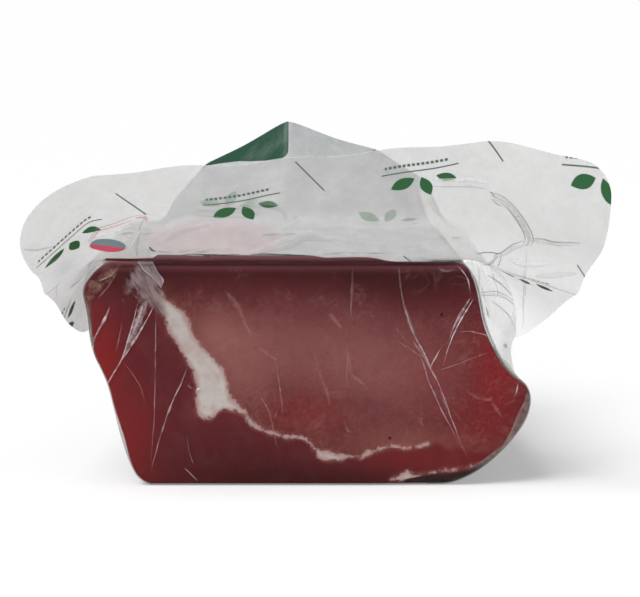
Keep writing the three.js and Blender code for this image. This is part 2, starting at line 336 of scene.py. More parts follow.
def loin_rings(around, edge_rings, side_rings, face_rings, gap, loose=0.0, fine=0.0):
    """Rings round the loin from the front pole's to the back pole's, a gap inside the film, as an
    array of ring, place and x, y, z. The front edge is a quarter ellipse that draws in, the sides
    carry the crags, the back edge is a quarter circle, and each cut face is its edge ring shrunk to
    the middle, swelling as it goes in. Where the film is loose, the gap grows."""
    outline = closed_curve(LOIN_OUTLINE.astype(float), around)
    outline[:, 1] = np.clip(outline[:, 1], 0, LOIN_HEIGHT)
    normals = outward(outline)
    x, z = outline.T
    drawn_in = EDGE_INSET + hills(x, z, SKIN_INSETS)
    turn = np.linspace(0, np.pi / 2, edge_rings, endpoint=False)
    back_turn = np.linspace(0, np.pi / 2, edge_rings + 1)[1:]
    side = np.linspace(0, 1, side_rings)
    depths = np.concatenate([
        FRONT_Y + EDGE_DEPTH * (1 - np.cos(turn)),
        FRONT_Y + EDGE_DEPTH + (BACK_Y - BACK_EDGE - FRONT_Y - EDGE_DEPTH) * side,
        BACK_Y - BACK_EDGE + BACK_EDGE * np.sin(back_turn),
    ])
    insets = np.concatenate([
        np.outer(1 - np.sin(turn), drawn_in),
        np.zeros((side_rings, around)),
        np.outer(1 - np.cos(back_turn), np.full(around, BACK_EDGE)),
    ])
    crags = np.concatenate([0 * turn, ease(side, 0, 0.15), 1 + 0 * back_turn])[:, None]
    flat = np.broadcast_to(outline, (len(depths), around, 2))
    depth = np.broadcast_to(depths[:, None], flat.shape[:2])
    place = np.stack([flat[..., 0], depth, flat[..., 1]], -1)
    bumps = sum(height * cloud(place, size, seed) for height, size, seed in FINE_RELIEF)
    relief = skin_crags(place) + fine * (bumps - FINE_SINK)
    narrowing = 1 - BACK_TAPER * (depth - FRONT_Y) / (BACK_Y - FRONT_Y)
    out = crags * relief - insets - gap - loose * hills(x, z, LOOSE_FILM)
    ring_x = LOIN_MIDDLE[0] + (flat[..., 0] - LOIN_MIDDLE[0]) * narrowing + normals[:, 0] * out
    ring_z = np.clip(flat[..., 1] + normals[:, 1] * out, gap, LOIN_HEIGHT - gap)
    lengthwise = gap * (np.cos(np.pi * (depth - FRONT_Y) / (BACK_Y - FRONT_Y)))
    body = np.stack([ring_x, depth + lengthwise, ring_z], -1)

    def cut_face(edge, side_sign, shares):
        middle = np.array([LOIN_MIDDLE[0], edge[0, 1], LOIN_MIDDLE[1]])
        rings = middle + (edge - middle) * shares[:, None, None]
        rings[..., 1] += side_sign * FACE_BULGE * (1 - shares[:, None] ** 2)
        return rings

    front = cut_face(body[0], -1, np.linspace(POLE_SHARE, 1, face_rings + 1)[:-1])
    back = cut_face(body[-1], 1, np.linspace(1, POLE_SHARE, face_rings // 2 + 1)[1:])
    return np.concatenate([front, body, back])


def skin_over(rings):
    """Points, quads and triangles of a closed skin over rings, with a pole at each end."""
    count, around = rings.shape[:2]
    ring, step = np.meshgrid(np.arange(count - 1), np.arange(around), indexing="ij")
    here, beside = 1 + ring * around + step, 1 + ring * around + (step + 1) % around
    quads = np.stack([here, here + around, beside + around, beside], -1).reshape(-1, 4)
    first, last = 1 + np.arange(around), 1 + (count - 1) * around + np.arange(around)
    end = 1 + count * around
    caps = [
        np.stack([0 * first, first, np.roll(first, -1)], 1),
        np.stack([0 * last + end, np.roll(last, -1), last], 1),
    ]
    poles = [rings[0].mean(0, keepdims=True), rings[-1].mean(0, keepdims=True)]
    points = np.concatenate([poles[0], rings.reshape(-1, 3), poles[1]])
    return points, quads, np.concatenate(caps)


def over_rings(values):
    """A number for each point that skin_over makes, from an array of ring and place."""
    first_pole, last_pole = (values[end].mean(keepdims=True) for end in (0, -1))
    return np.concatenate([first_pole, values.ravel(), last_pole])


def add_piece(name, points, faces, material, attributes=None):
    """A smooth piece from points in millimetres, lists of faces and numbers for each point."""
    mesh = bpy.data.meshes.new(name)
    mesh.from_pydata((points * MM).tolist(), [], sum((part.tolist() for part in faces), []))
    mesh.shade_smooth()
    for key, values in (attributes or {}).items():
        values = np.asarray(values, np.float32)
        kind, slot = ("FLOAT", "value") if values.ndim == 1 else ("FLOAT_VECTOR", "vector")
        mesh.attributes.new(key, kind, "POINT").data.foreach_set(slot, values.ravel())
    mesh.materials.append(material)
    piece = bpy.data.objects.new(name, mesh)
    bpy.context.collection.objects.link(piece)
    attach(piece, "root")
    return piece


def inside_lines(x, z, paths):
    """How deep inside any of some lines each point is, in millimetres. A path gives x, z and half
    the line's width: the half width at the nearest place on it, less the distance to that place."""

    def inside(path):
        start, run = path[:-1], np.diff(path, axis=0)
        offset_x, offset_z = x[:, None] - start[:, 0], z[:, None] - start[:, 1]
        share = (offset_x * run[:, 0] + offset_z * run[:, 1]) / (run[:, 0] ** 2 + run[:, 1] ** 2)
        share = np.clip(share, 0, 1)
        away = np.hypot(offset_x - share * run[:, 0], offset_z - share * run[:, 1])
        return (start[:, 2] + share * run[:, 2] - away).max(1)

    return np.maximum.reduce([inside(np.array(path)) for path in paths])


def beside_line(x, z, line):
    """How far each point is from a line, above 0 on the left of its run and below 0 on the right."""
    run = np.diff(line, axis=0)
    from_start = np.stack([x, z], 1)[:, None] - line[:-1]
    share = np.clip((from_start * run).sum(-1) / (run**2).sum(-1), 0, 1)
    away = np.linalg.norm(from_start - share[..., None] * run, axis=-1)
    nearest = np.arange(len(x)), away.argmin(1)
    turn = run[:, 0] * from_start[..., 1] - run[:, 1] * from_start[..., 0]
    return np.sign(turn[nearest]) * away[nearest]


# Each line on the cut face: x, z and half the line's width, in millimetres.
FAT_SEAM = np.array([
    (-37.6, 47.6, 0.9), (-35.6, 45.2, 1.8), (-33.8, 42.6, 2.7), (-32.6, 39.9, 2.7),
    (-31.0, 37.0, 2.35), (-28.9, 33.6, 2.7), (-26.6, 30.8, 3.2), (-25.1, 28.0, 3.8),
    (-24.4, 25.4, 4.0), (-24.4, 22.8, 4.4), (-25.6, 20.2, 3.0), (-25.6, 18.2, 1.0),
])
THIN_SEAM = np.array([
    (-21.6, 21.2, 2.0), (-18.6, 20.0, 0.9), (-16.2, 18.5, 0.5), (-14.8, 15.9, 0.45),
    (-12.8, 14.6, 0.5), (-10.6, 13.7, 0.45), (-5.5, 12.6, 0.35), (-2.4, 12.4, 0.35),
    (-0.4, 11.4, 0.45), (1.2, 9.5, 0.5), (2.8, 7.9, 0.9), (5.0, 7.5, 1.15), (6.8, 7.2, 0.8),
    (9.2, 7.6, 0.25), (12.9, 7.4, 0.2), (14.6, 8.3, 0.45), (16.6, 9.3, 0.5), (20.5, 10.0, 0.3),
    (24.8, 9.6, 0.25), (28.0, 10.2, 0.2), (30.3, 10.8, 0.0),
])
BOTTOM_FAT = np.array([
    (20.6, 1.5, 0.2), (22.8, 1.9, 0.8), (24.4, 2.5, 1.2), (26.2, 2.1, 0.6), (29.5, 3.0, 0.15),
    (32.7, 3.8, 0.1), (36.6, 4.2, 0.15), (41.2, 4.8, 0.1), (44.0, 6.2, 0.0),
])
FINE_VEINS = [
    [(-20.8, 49.2, 0.2), (-19.2, 46.8, 0.7), (-17.7, 45.2, 0.5), (-17.2, 43.7, 0.3),
     (-16.1, 41.0, 0.3), (-14.2, 37.8, 0.35), (-12.6, 35.1, 0.25), (-10.6, 33.5, 0.3),
     (-8.3, 32.1, 0.1)],
    [(-14.0, 39.0, 0.1), (-11.8, 37.9, 0.2), (-10.4, 38.4, 0.1)],
    [(-10.0, 43.4, 0.1), (-8.0, 42.4, 0.25), (-7.2, 41.0, 0.1)],
    [(-23.6, 44.4, 0.1), (-21.6, 44.0, 0.2), (-20.4, 43.2, 0.1)],
    [(-18.4, 36.9, 0.3), (-17.8, 36.9, 0.3)],
    [(3.0, 44.5, 0.3), (4.9, 43.6, 0.4), (6.9, 41.6, 0.45), (7.8, 40.0, 0.1)],
    [(1.0, 34.3, 0.1), (2.5, 28.3, 0.25), (4.5, 23.2, 0.3), (4.9, 20.4, 0.1)],
    [(9.2, 35.8, 0.1), (10.4, 28.3, 0.3), (13.2, 26.2, 0.25), (14.4, 24.6, 0.1)],
    [(21.0, 41.0, 0.1), (23.4, 37.6, 0.2), (26.4, 35.6, 0.2), (31.0, 33.4, 0.1)],
    [(28.2, 20.2, 0.2), (27.7, 16.4, 0.4), (28.9, 14.6, 0.1)],
    [(35.4, 20.2, 0.1), (37.0, 18.0, 0.3), (39.0, 15.6, 0.35), (40.2, 13.9, 0.1)],
    [(35.0, 27.4, 0.05), (38.6, 24.6, 0.15), (42.6, 22.0, 0.3), (45.6, 22.0, 0.4),
     (46.8, 19.4, 0.4), (48.4, 17.2, 0.1)],
    [(-8.2, 19.4, 0.1), (-9.2, 16.2, 0.2), (-10.2, 14.8, 0.1)],
    [(8.4, 17.0, 0.1), (9.6, 14.0, 0.3), (11.2, 13.0, 0.1)],
]
DARK_SPECKS = [(32.9, 43.5, 0.45), (20.0, 12.2, 0.4)]  # x, z and radius


def lobes(x, z, table):
    """A sum of soft oval lobes, each with a middle, a reach along x and along z, and a height."""
    return sum(
        height * np.exp(-(((x - at_x) / wide) ** 2) - ((z - at_z) / high) ** 2)
        for at_x, at_z, wide, high, height in table
    )


# Where the lean is pale, bright, red or dark, as lobes. The pale lobes are partly the eye muscle's
# own pale tone and partly a painted sheen of the film over the middle of the face. The dark lobes are
# partly the meat's own dark red and partly painted shade, along the top edge under the lid's flange
# and along the bottom.
PALE_AND_SHEEN_LOBES = [(4, 34, 27, 12, 0.85), (-18, 36, 8, 9, 0.35), (24, 26, 16, 12, 0.45),
              (20, 10, 16, 5, 0.4), (-16, 24, 7, 6, 0.2)]
BRIGHT_LOBES = [(-24, 38, 7, 7, 0.75), (-12, 36, 8, 8, 0.3), (-18, 28, 5, 5, 0.35),
                (26, 9, 10, 4, 0.35), (0, 17, 8, 4, 0.15)]
RED_LOBES = [(-52, 33, 5, 12, 1.1), (-44, 12, 6, 14, 0.8), (47, 30, 6, 12, 0.9),
             (44, 15, 9, 9, 0.6), (-2, 18, 10, 6, 0.45), (26, 6, 12, 4, 0.5), (30, 28, 9, 12, 0.2)]
DARK_AND_SHADE_LOBES = [(0, 56, 80, 6.5, 0.8), (26, 52, 18, 8, 0.6), (-18, 7, 24, 8, 0.55),
              (4, 1, 34, 4, 0.9), (-38, 20, 8, 14, 0.2), (-42, 53, 10, 6, 0.35),
              (46, 14, 9, 12, 0.2)]
CRUST_LINES = [  # smoked crust at the shoulders
    [(-47.6, 55.4, 0.6), (-49.6, 54.0, 1.9), (-52.2, 52.0, 2.0), (-54.6, 49.8, 2.0),
     (-55.7, 47.0, 1.5), (-55.8, 43.4, 1.0), (-54.9, 39.6, 0.6), (-54.4, 35.8, 0.7),
     (-53.2, 31.6, 0.1)],
    [(44.6, 39.4, 0.3), (46.4, 35.6, 1.1), (48.8, 32.0, 1.8), (50.3, 30.4, 2.1), (51.4, 28.2, 1.3)],
]
HAZE_LINES = [  # the milky smear at the upper left
    [(-41.9, 56.6, 1.4), (-41.4, 54.8, 2.8), (-41.2, 52.3, 3.4), (-40.4, 49.7, 3.3),
     (-38.6, 47.2, 2.8), (-37.3, 45.2, 2.1), (-36.2, 43.7, 1.2)],
    [(-43.6, 54.2, 1.0), (-44.6, 51.8, 1.6), (-45.4, 49.8, 1.0), (-46.6, 47.4, 0.4)],
]
# The eye muscle's edge follows the two seams, then runs on to the right.
EYE_SIDE = np.vstack([FAT_SEAM[:-2, :2], THIN_SEAM[:, :2], [(44, 8), (60, 8)]])

AROUND, FACE_RINGS, EDGE_RINGS, SIDE_RINGS = 420, 84, 9, 64
SKIN_START, SKIN_END = 6, 8  # rings over which the skin's brown comes in, and goes out behind
SKIRT = (0.5, 1.1)  # millimetres drawn in, over which skin reaches round the front edge
SKIN_TOP = (53, 55.5)  # heights over which it ends under the lid
PAINTED_TOP_LIGHT = (53.6, 56)  # heights over which the meat's shaded top edge under the lid is painted lighter, a painted light

rings = loin_rings(AROUND, EDGE_RINGS, SIDE_RINGS, FACE_RINGS, FILM_GAP, loose=1.0, fine=0.22)
points, quads, caps = skin_over(rings)
x, y, z = points.T
spread = 1 - BACK_TAPER * (y - FRONT_Y) / (BACK_Y - FRONT_Y)
face_x = LOIN_MIDDLE[0] + (x - LOIN_MIDDLE[0]) / spread

ring_number = np.broadcast_to(np.arange(len(rings))[:, None], rings.shape[:2]).astype(float)
first_side, last_side = FACE_RINGS + EDGE_RINGS, FACE_RINGS + EDGE_RINGS + SIDE_RINGS
edge_x, edge_z = rings[first_side, :, 0], rings[first_side, :, 2]
skirt = ease(hills(edge_x, edge_z, SKIN_INSETS[:3]), *SKIRT)
skirt = skirt * ease(ring_number, FACE_RINGS - 0.5, FACE_RINGS + 1)
brown = np.maximum(ease(ring_number, first_side, first_side + SKIN_START), skirt)
brown = brown * (1 - ease(ring_number, last_side, last_side + SKIN_END))
brown = brown * (1 - ease(rings[..., 2], *SKIN_TOP))
outer = ease(ring_number, FACE_RINGS + 3, first_side + 1)
specks = [radius - np.hypot(face_x - at_x, z - at_z) for at_x, at_z, radius in DARK_SPECKS]
marks = {
    "fat": inside_lines(face_x, z, [FAT_SEAM, THIN_SEAM, BOTTOM_FAT]),
    "vein": inside_lines(face_x, z, FINE_VEINS),
    "haze": inside_lines(face_x, z, HAZE_LINES),
    "crust": inside_lines(face_x, z, CRUST_LINES),
    "speck": np.maximum.reduce(specks),
    "eye": beside_line(face_x, z, EYE_SIDE),
    "pale_and_sheen": lobes(face_x, z, PALE_AND_SHEEN_LOBES), "bright": lobes(face_x, z, BRIGHT_LOBES),
    "red": lobes(face_x, z, RED_LOBES), "dark_and_shade": lobes(face_x, z, DARK_AND_SHADE_LOBES),
    "skin": over_rings(brown), "outer": over_rings(outer), "painted_top_light": ease(z, *PAINTED_TOP_LIGHT),
}

meat = Finish(bpy.data.materials.new("smoked_loin"))
mark = meat.attribute
mottle = meat.noise(meat.place(), 0.12, 4, 0.55)
cloudy = meat.noise(meat.place((1, 1, 1.2), (0, 0.6, 0)), 0.3, 4, 0.6)
scallop = meat.noise(meat.place(), 0.36, 2, 0.5)
speck = meat.noise(meat.place(), 1.3, 3, 0.6)
marbling = meat.noise(meat.place((1, 1, 1.3), (0, 0.7, 0)), 0.15, 3, 0.6, 1.0)
fray = meat.noise(meat.place(), 2.6, 3, 0.7)
smear = meat.noise(meat.place((1, 1, 0.3), (0, 0.62, 0)), 0.75, 4, 0.65)
smoke = meat.noise(meat.place((1, 0.5, 1)), 0.22, 6, 0.65)
grain = meat.noise(meat.place((1, 0.25, 1), (0, 0.9, 0)), 0.8, 4, 0.65)
patchy = meat.noise(meat.place((1, 0.6, 1), (0, -0.5, 0)), 0.3, 5, 0.7)

# The seams' edges are ragged, and more so where a seam is wide.
wide_seam = mark("fat").step(-2.5, 1.5) * 0.6 + 0.4
ragged = mark("fat") + ((scallop - 0.5) * 2.6 + (speck - 0.5) * 1.8) * wide_seam + (fray - 0.5) * 0.6
fat_share = ragged.step(-0.3, 0.4)
fat_tone = meat.layers(
    meat.blend(scallop.step(0.35, 0.75), tint(252, 243, 237), tint(238, 216, 208)),
    ((speck * mottle).step(0.3, 0.5) * 0.5, tint(226, 196, 188)),
    (1 - mark("fat").step(0.1, 1.5), tint(226, 192, 188)),
)

# The lean: a dark red, and on it pale places with a painted sheen, bright and red places, dark places
# with painted shade, and browned places, then fine threads and grains of fat, cloudy depths, veins,
# dark specks and a rim along the seams.
eye = (mark("eye") + (mottle - 0.5) * 4).step(-0.6, 1.0)
drift = (mottle - 0.5) * 0.35 + (cloudy - 0.5) * 0.22
browned = mark("eye").step(0, 1.2) * (1 - mark("eye").step(2, 7))
threads = (1 - ((marbling - 0.5).absolute() * 22).part()) * mottle.step(0.48, 0.66)
grainy = speck.step(0.4, 0.8) * (1 - mark("dark_and_shade") * 1.4).part()
vein_line = (mark("vein") + (speck - 0.5) * 0.6).step(-0.25, 0.25)
lean = meat.layers(
    tint(122, 38, 46),
    # pale places: partly the eye muscle's own tone, partly a painted sheen of the film
    ((mark("pale_and_sheen") * eye + drift).part(), tint(170, 104, 102)),
    ((mark("bright") * eye + drift * 0.6).part(), tint(196, 126, 120)),
    ((mark("red") + drift).part(), tint(166, 36, 38)),
    # dark places: partly the meat's own dark red, partly painted shade at the top and the bottom
    ((mark("dark_and_shade") + drift * 0.5).part(), tint(82, 16, 20)),
    (browned * cloudy * 0.4, tint(160, 96, 72)),
    (threads * 0.2 * eye, tint(204, 150, 142)),
    (grainy * (0.05 + 0.13 * eye), tint(206, 136, 130)),
    ((0.5 - cloudy).part() * 0.5, tint(84, 26, 30)),
    (vein_line * scallop.step(0.3, 0.62) * 0.4, tint(212, 158, 150)),
    (mark("speck").step(-0.2, 0.1), tint(40, 12, 12)),
    (ragged.step(-1.1, 0.0) * 0.3, tint(206, 128, 118)),
)
hazy = (mark("haze") + (smear - 0.5) * 5 + (speck - 0.5) * 0.8).step(-0.1, 1.6)
haze_tone = meat.blend(smear.step(0.35, 0.65), tint(166, 138, 140), tint(220, 198, 198))
# Over the lean lie the fat, a painted light along the shaded top edge under the lid, and the haze.
flesh = meat.layers(
    lean, (fat_share * 0.97, fat_tone), (mark("painted_top_light") * 0.8, tint(160, 88, 96)), (hazy * 0.8, haze_tone)
)

# The skin is a greyed brown with dark and pale streaks. It is darker on the sides than round the
# front edge, and painted darkest near the table, a painted shade where it curves under. The crust at
# the shoulders goes from tan to nearly black, with painted glints of gold.
painted_shade_low = 1 - meat.node("ShaderNodeSeparateXYZ", {}, {0: meat.place()}, "Z").step(3.2, 6.5)
skin_share = (mark("skin") + (speck - 0.5) * 0.3).step(0.3, 0.6)
skin = meat.layers(
    meat.blend(smoke.step(0.3, 0.7), tint(146, 112, 106), tint(184, 152, 148)),
    (grain.step(0.5, 0.66) * 0.6, tint(110, 74, 66)),
    (mark("outer").step(0.2, 0.9) * 0.75, tint(78, 50, 46)),
    (speck.step(0.5, 0.75) * 0.5, tint(104, 66, 60)),
    (grain.step(0.46, 0.34) * 0.55, tint(196, 168, 162)),
    # painted shade near the table
    (painted_shade_low * 0.95, tint(60, 34, 30)),
)
crust_share = (mark("crust") + (smoke - 0.5) * 3 + (patchy - 0.5) * 4).step(0.1, 0.7)
crust = meat.layers(
    meat.blend(patchy.step(0.4, 0.6), tint(120, 62, 56), tint(172, 126, 112)),
    (patchy.step(0.56, 0.66) * 0.8, tint(206, 150, 96)),
    # painted glints of gold in the crust
    (grain.step(0.56, 0.66) * 0.7, tint(226, 176, 118)),
    (grain.step(0.44, 0.36) * 0.7, tint(76, 30, 26)),
)
relief = cloudy * 0.5 + fat_share * 0.5 + (skin_share * smoke + crust_share * patchy) * 3
meat.surface(meat.node("ShaderNodeBsdfPrincipled", {}, {
    "Base Color": meat.layers(flesh, (skin_share, skin), (crust_share * 0.75, crust)),
    "Roughness": 0.42 + 0.2 * skin_share, "Specular IOR Level": 0.2,
    "Normal": meat.bump(relief, 0.25, 0.6),
}))
loin_meat = add_piece("loin_meat", points, [quads, caps], meat.owner, marks)

# --- The clear pocket ----------------------------------------------------------------------------
# A clear formed film, drawn tight onto the meat by the vacuum. It shines, it is a little milky where
# it is seen edge on and at the upper left, and it stands off the meat at the left side.

FILM_AROUND, FILM_FACE_RINGS, FILM_EDGE_RINGS, FILM_SIDE_RINGS = 300, 50, 7, 46
CLEARNESS = (0.88, 0.88, 0.88, 1)  # the light that gets through
# Milky places at the upper left, as lobes.
VEIL = [(-41.4, 53, 1.5, 2.4, 0.2), (-40.0, 49.6, 1.2, 2.4, 0.25), (-38.4, 46.8, 0.9, 2.0, 0.25)]

film_rings = loin_rings(FILM_AROUND, FILM_EDGE_RINGS, FILM_SIDE_RINGS, FILM_FACE_RINGS, gap=0.0)
film_points, film_quads, film_caps = skin_over(film_rings)
in_front = 1 - ease(film_points[:, 1], FRONT_Y, FRONT_Y + EDGE_DEPTH)
film_marks = {"veil": lobes(film_points[:, 0], film_points[:, 2], VEIL) * in_front}

clear = Finish(bpy.data.materials.new("clear_film"))
tension = clear.noise(clear.place((1, 1, 0.22), (0, 0.12, 0)), 0.16, 3, 0.5)
wrinkle = clear.noise(clear.place((1, 1, 0.5), (0, -0.5, 0)), 0.5, 3, 0.5)
stretched = clear.bump(tension * 1.2 + wrinkle * 0.12, 1.0, 0.5)
gloss = clear.node("ShaderNodeBsdfGlossy", {}, {"Roughness": 0.12, "Normal": stretched})
shine = clear.node("ShaderNodeFresnel", {}, {"IOR": 1.2, "Normal": stretched})
see_through = clear.node("ShaderNodeBsdfTransparent", {}, {"Color": CLEARNESS})
glassy = clear.either(shine.lower(0.35), see_through, gloss)
edge_on = clear.node("ShaderNodeLayerWeight", {}, {"Blend": 0.5}, "Facing") ** 5
milk = clear.node("ShaderNodeBsdfDiffuse", {}, {"Color": tint(232, 218, 216)})
streaks = clear.noise(clear.place((1, 1, 0.35), (0, 0.5, 0)), 0.8, 5, 0.65)
veil = (clear.attribute("veil") * 2.2 + (streaks - 0.5) * 3).step(0.5, 1.3) * (0.2 + streaks * 0.6)
milkiness = (wrinkle.step(0.5, 0.8) * 0.02 + edge_on * 0.14 + veil).part()
clear.surface(clear.either(milkiness, glassy, milk))
pocket_film = add_piece("pocket_film", film_points, [film_quads, film_caps], clear.owner, film_marks)
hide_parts("loin")

# --- Creases in the pocket -----------------------------------------------------------------------
# Where the clear film could not shrink flat it stands in fine pleats: whitened film with a painted
# highlight along each. Each is a slim closed ridge along a path on the cut face, with a wide pleat at
# the upper left.

# How white each crease is, its whitened film and painted highlight together, then x, z and half
# its width along it, in millimetres.
POCKET_CREASES = [
    (0.36, [(-40.9, 47.0, 1.9), (-42.9, 41.8, 1.4), (-45.0, 36.9, 0.85), (-47.2, 31.9, 0.25)]),
    (0.80, [(-42.9, 47.0, 0.1), (-44.4, 41.0, 0.22), (-46.1, 35.4, 0.22), (-47.3, 32.0, 0.25),
            (-49.3, 28.6, 0.3), (-51.8, 24.2, 0.1)]),
    (0.90, [(-38.9, 46.0, 0.1), (-41.7, 40.6, 0.25), (-44.4, 36.2, 0.34), (-47.1, 32.0, 0.15)]),
    (0.60, [(-41.6, 46.4, 0.1), (-43.0, 42.0, 0.3), (-45.4, 36.4, 0.1)]),
    (0.85, [(-50.0, 45.5, 0.1), (-50.9, 43.4, 0.62), (-52.0, 41.2, 0.5), (-53.2, 39.0, 0.25),
            (-54.2, 37.2, 0.1)]),
    (0.35, [(-52.8, 39.4, 0.1), (-54.2, 36.4, 0.2), (-54.0, 33.4, 0.1)]),
    (0.30, [(-47.0, 41.4, 0.1), (-47.8, 37.6, 0.2), (-48.6, 34.0, 0.1)]),
    (0.30, [(-46.9, 31.6, 0.1), (-44.6, 28.8, 0.2), (-42.7, 25.6, 0.15), (-41.4, 21.2, 0.08)]),
    (0.32, [(-38.4, 45.0, 0.1), (-38.6, 37.4, 0.22), (-38.8, 27.0, 0.16), (-39.1, 17.7, 0.16),
            (-40.0, 6.0, 0.1)]),
    (0.55, [(-30.6, 30.8, 0.05), (-32.3, 26.2, 0.2), (-34.1, 22.5, 0.28), (-35.7, 18.4, 0.28),
            (-37.3, 13.6, 0.2), (-39.0, 7.6, 0.14), (-40.1, 3.6, 0.05)]),
    (0.30, [(-31.0, 12.6, 0.05), (-30.2, 8.2, 0.16), (-28.9, 4.6, 0.05)]),
    (0.60, [(-31.6, 4.6, 0.05), (-29.9, 2.9, 0.2), (-28.2, 1.3, 0.05)]),
    (0.85, [(-28.9, 24.0, 0.05), (-28.0, 24.7, 0.3), (-27.0, 25.4, 0.05)]),
    (0.25, [(-30.6, 26.0, 0.1), (-30.0, 25.2, 0.3), (-29.2, 24.8, 0.1)]),
    (0.28, [(-13.6, 24.6, 0.05), (-10.4, 19.4, 0.2), (-9.3, 15.0, 0.14), (-8.0, 8.4, 0.05)]),
    (0.16, [(-9.1, 33.5, 0.1), (-7.9, 27.6, 0.25), (-7.0, 21.0, 0.2), (-6.7, 16.8, 0.1)]),
    (0.14, [(10.6, 56.0, 0.3), (10.5, 50.0, 0.45), (10.2, 43.0, 0.3)]),
    (0.13, [(9.4, 37.0, 0.1), (9.3, 31.0, 0.25), (9.0, 24.0, 0.1)]),
    (0.16, [(22.2, 56.2, 0.3), (22.4, 52.6, 0.5), (22.9, 48.4, 0.3)]),
    (0.42, [(22.8, 49.4, 0.1), (24.0, 44.2, 0.22), (26.0, 38.6, 0.22), (28.4, 34.3, 0.24),
            (30.3, 29.9, 0.26), (32.0, 26.6, 0.2), (33.6, 22.6, 0.2), (36.2, 15.4, 0.16),
            (37.9, 11.0, 0.18), (40.4, 5.6, 0.05)]),
    (0.34, [(27.0, 34.4, 0.1), (28.7, 30.4, 0.2), (29.5, 27.4, 0.2), (31.1, 23.6, 0.24),
            (33.1, 19.2, 0.2), (35.4, 14.9, 0.18), (38.2, 9.6, 0.05)]),
    (0.16, [(31.5, 28.4, 0.1), (33.0, 23.6, 0.5), (35.0, 18.6, 0.45), (37.4, 12.0, 0.1)]),
    (0.15, [(22.5, 50.4, 0.2), (24.0, 44.2, 0.7), (26.4, 37.8, 0.65), (29.2, 31.8, 0.5),
            (31.6, 27.0, 0.2)]),
    (0.90, [(41.0, 47.6, 0.1), (39.2, 44.8, 0.34), (37.2, 41.2, 0.2), (35.4, 37.2, 0.18),
            (34.2, 34.2, 0.14), (33.3, 30.4, 0.05)]),
    (0.40, [(40.4, 48.2, 0.2), (38.2, 44.6, 0.5), (36.0, 40.4, 0.3), (34.6, 36.6, 0.1)]),
    (0.55, [(33.5, 36.2, 0.05), (31.9, 33.5, 0.2), (30.7, 31.4, 0.2), (30.0, 29.6, 0.05)]),
    (0.35, [(30.8, 29.2, 0.05), (33.0, 29.7, 0.14), (36.6, 30.9, 0.14), (40.5, 32.5, 0.12),
            (45.8, 34.3, 0.05)]),
    (0.35, [(37.0, 39.0, 0.05), (39.7, 39.3, 0.2), (42.0, 38.9, 0.25), (44.4, 38.2, 0.2),
            (45.8, 37.3, 0.05)]),
    (0.25, [(21.2, 37.2, 0.05), (25.6, 34.6, 0.14), (27.4, 33.4, 0.2), (31.0, 32.7, 0.05)]),
    (0.40, [(25.8, 37.4, 0.1), (26.6, 35.6, 0.25), (27.8, 34.2, 0.1)]),
    (0.60, [(52.3, 26.8, 0.1), (51.9, 24.4, 0.18), (51.2, 22.6, 0.05)]),
    (0.50, [(54.4, 22.0, 0.05), (53.4, 17.0, 0.3), (50.2, 11.8, 0.3), (46.4, 7.4, 0.05)]),
    (0.22, [(31.9, 56.0, 0.2), (32.8, 54.9, 0.5), (34.8, 54.6, 0.5), (36.4, 55.2, 0.2)]),
    (0.65, [(36.6, 56.0, 0.1), (38.3, 54.2, 0.25), (39.4, 52.2, 0.25), (40.2, 48.6, 0.1)]),
    (0.45, [(-55.6, 47.6, 0.1), (-53.4, 51.4, 0.25), (-49.6, 53.6, 0.2), (-47.6, 56.0, 0.1)]),
    (0.35, [(-53.0, 47.6, 0.1), (-50.4, 50.6, 0.2), (-48.4, 54.0, 0.1)]),
    (1.0, [(-40.0, 57.6, 0.1), (-39.2, 56.4, 0.2), (-38.0, 54.4, 0.24), (-36.7, 52.2, 0.24),
           (-37.1, 50.4, 0.1)]),
    (0.8, [(-43.2, 57.6, 0.1), (-41.6, 54.8, 0.2), (-39.4, 53.0, 0.2), (-37.4, 50.6, 0.1)]),
]
PLEAT_HEIGHT = 0.6  # of its half width
PLEAT_SINK = 0.05
PLEAT_WANDER = 0.12
PLEAT_SLIM, PLEAT_UNEVEN = 0.72, 0.4
RIDGE_SIDES = 8
RIDGE_END = 0.04  # radians of a half turn, left off at each end of a ridge
TOWARDS_EYE = np.array([0, -1, 0])


def smooth_profile(stations, place):
    """A profile's value on cubics between its stations, each station's slope the mean of the
    slopes to its neighbours."""
    at, value = np.array(stations, float).T
    span = np.clip(np.searchsorted(at, place, side="right") - 1, 0, len(at) - 2)
    length = at[span + 1] - at[span]
    slope = np.diff(value) / np.diff(at)
    tangent = (np.concatenate([slope[:1], slope]) + np.concatenate([slope, slope[-1:]])) / 2
    t = np.clip((place - at[span]) / length, 0, 1)
    leave, arrive = tangent[span] * length, tangent[span + 1] * length
    return cubic(t, value[span], leave, value[span + 1], arrive)


def smooth_path(corners, count):
    """Points evenly spaced along a smooth open path. Each column of the corners follows its own
    profile over the length of the chords between them."""
    corners = np.asarray(corners, float)
    chords = np.linalg.norm(np.diff(corners[:, :2], axis=0), axis=1)
    at = np.concatenate([[0], np.cumsum(chords)])
    place = np.linspace(0, at[-1], count)
    return np.stack([smooth_profile(np.stack([at, column], 1), place) for column in corners.T], 1)


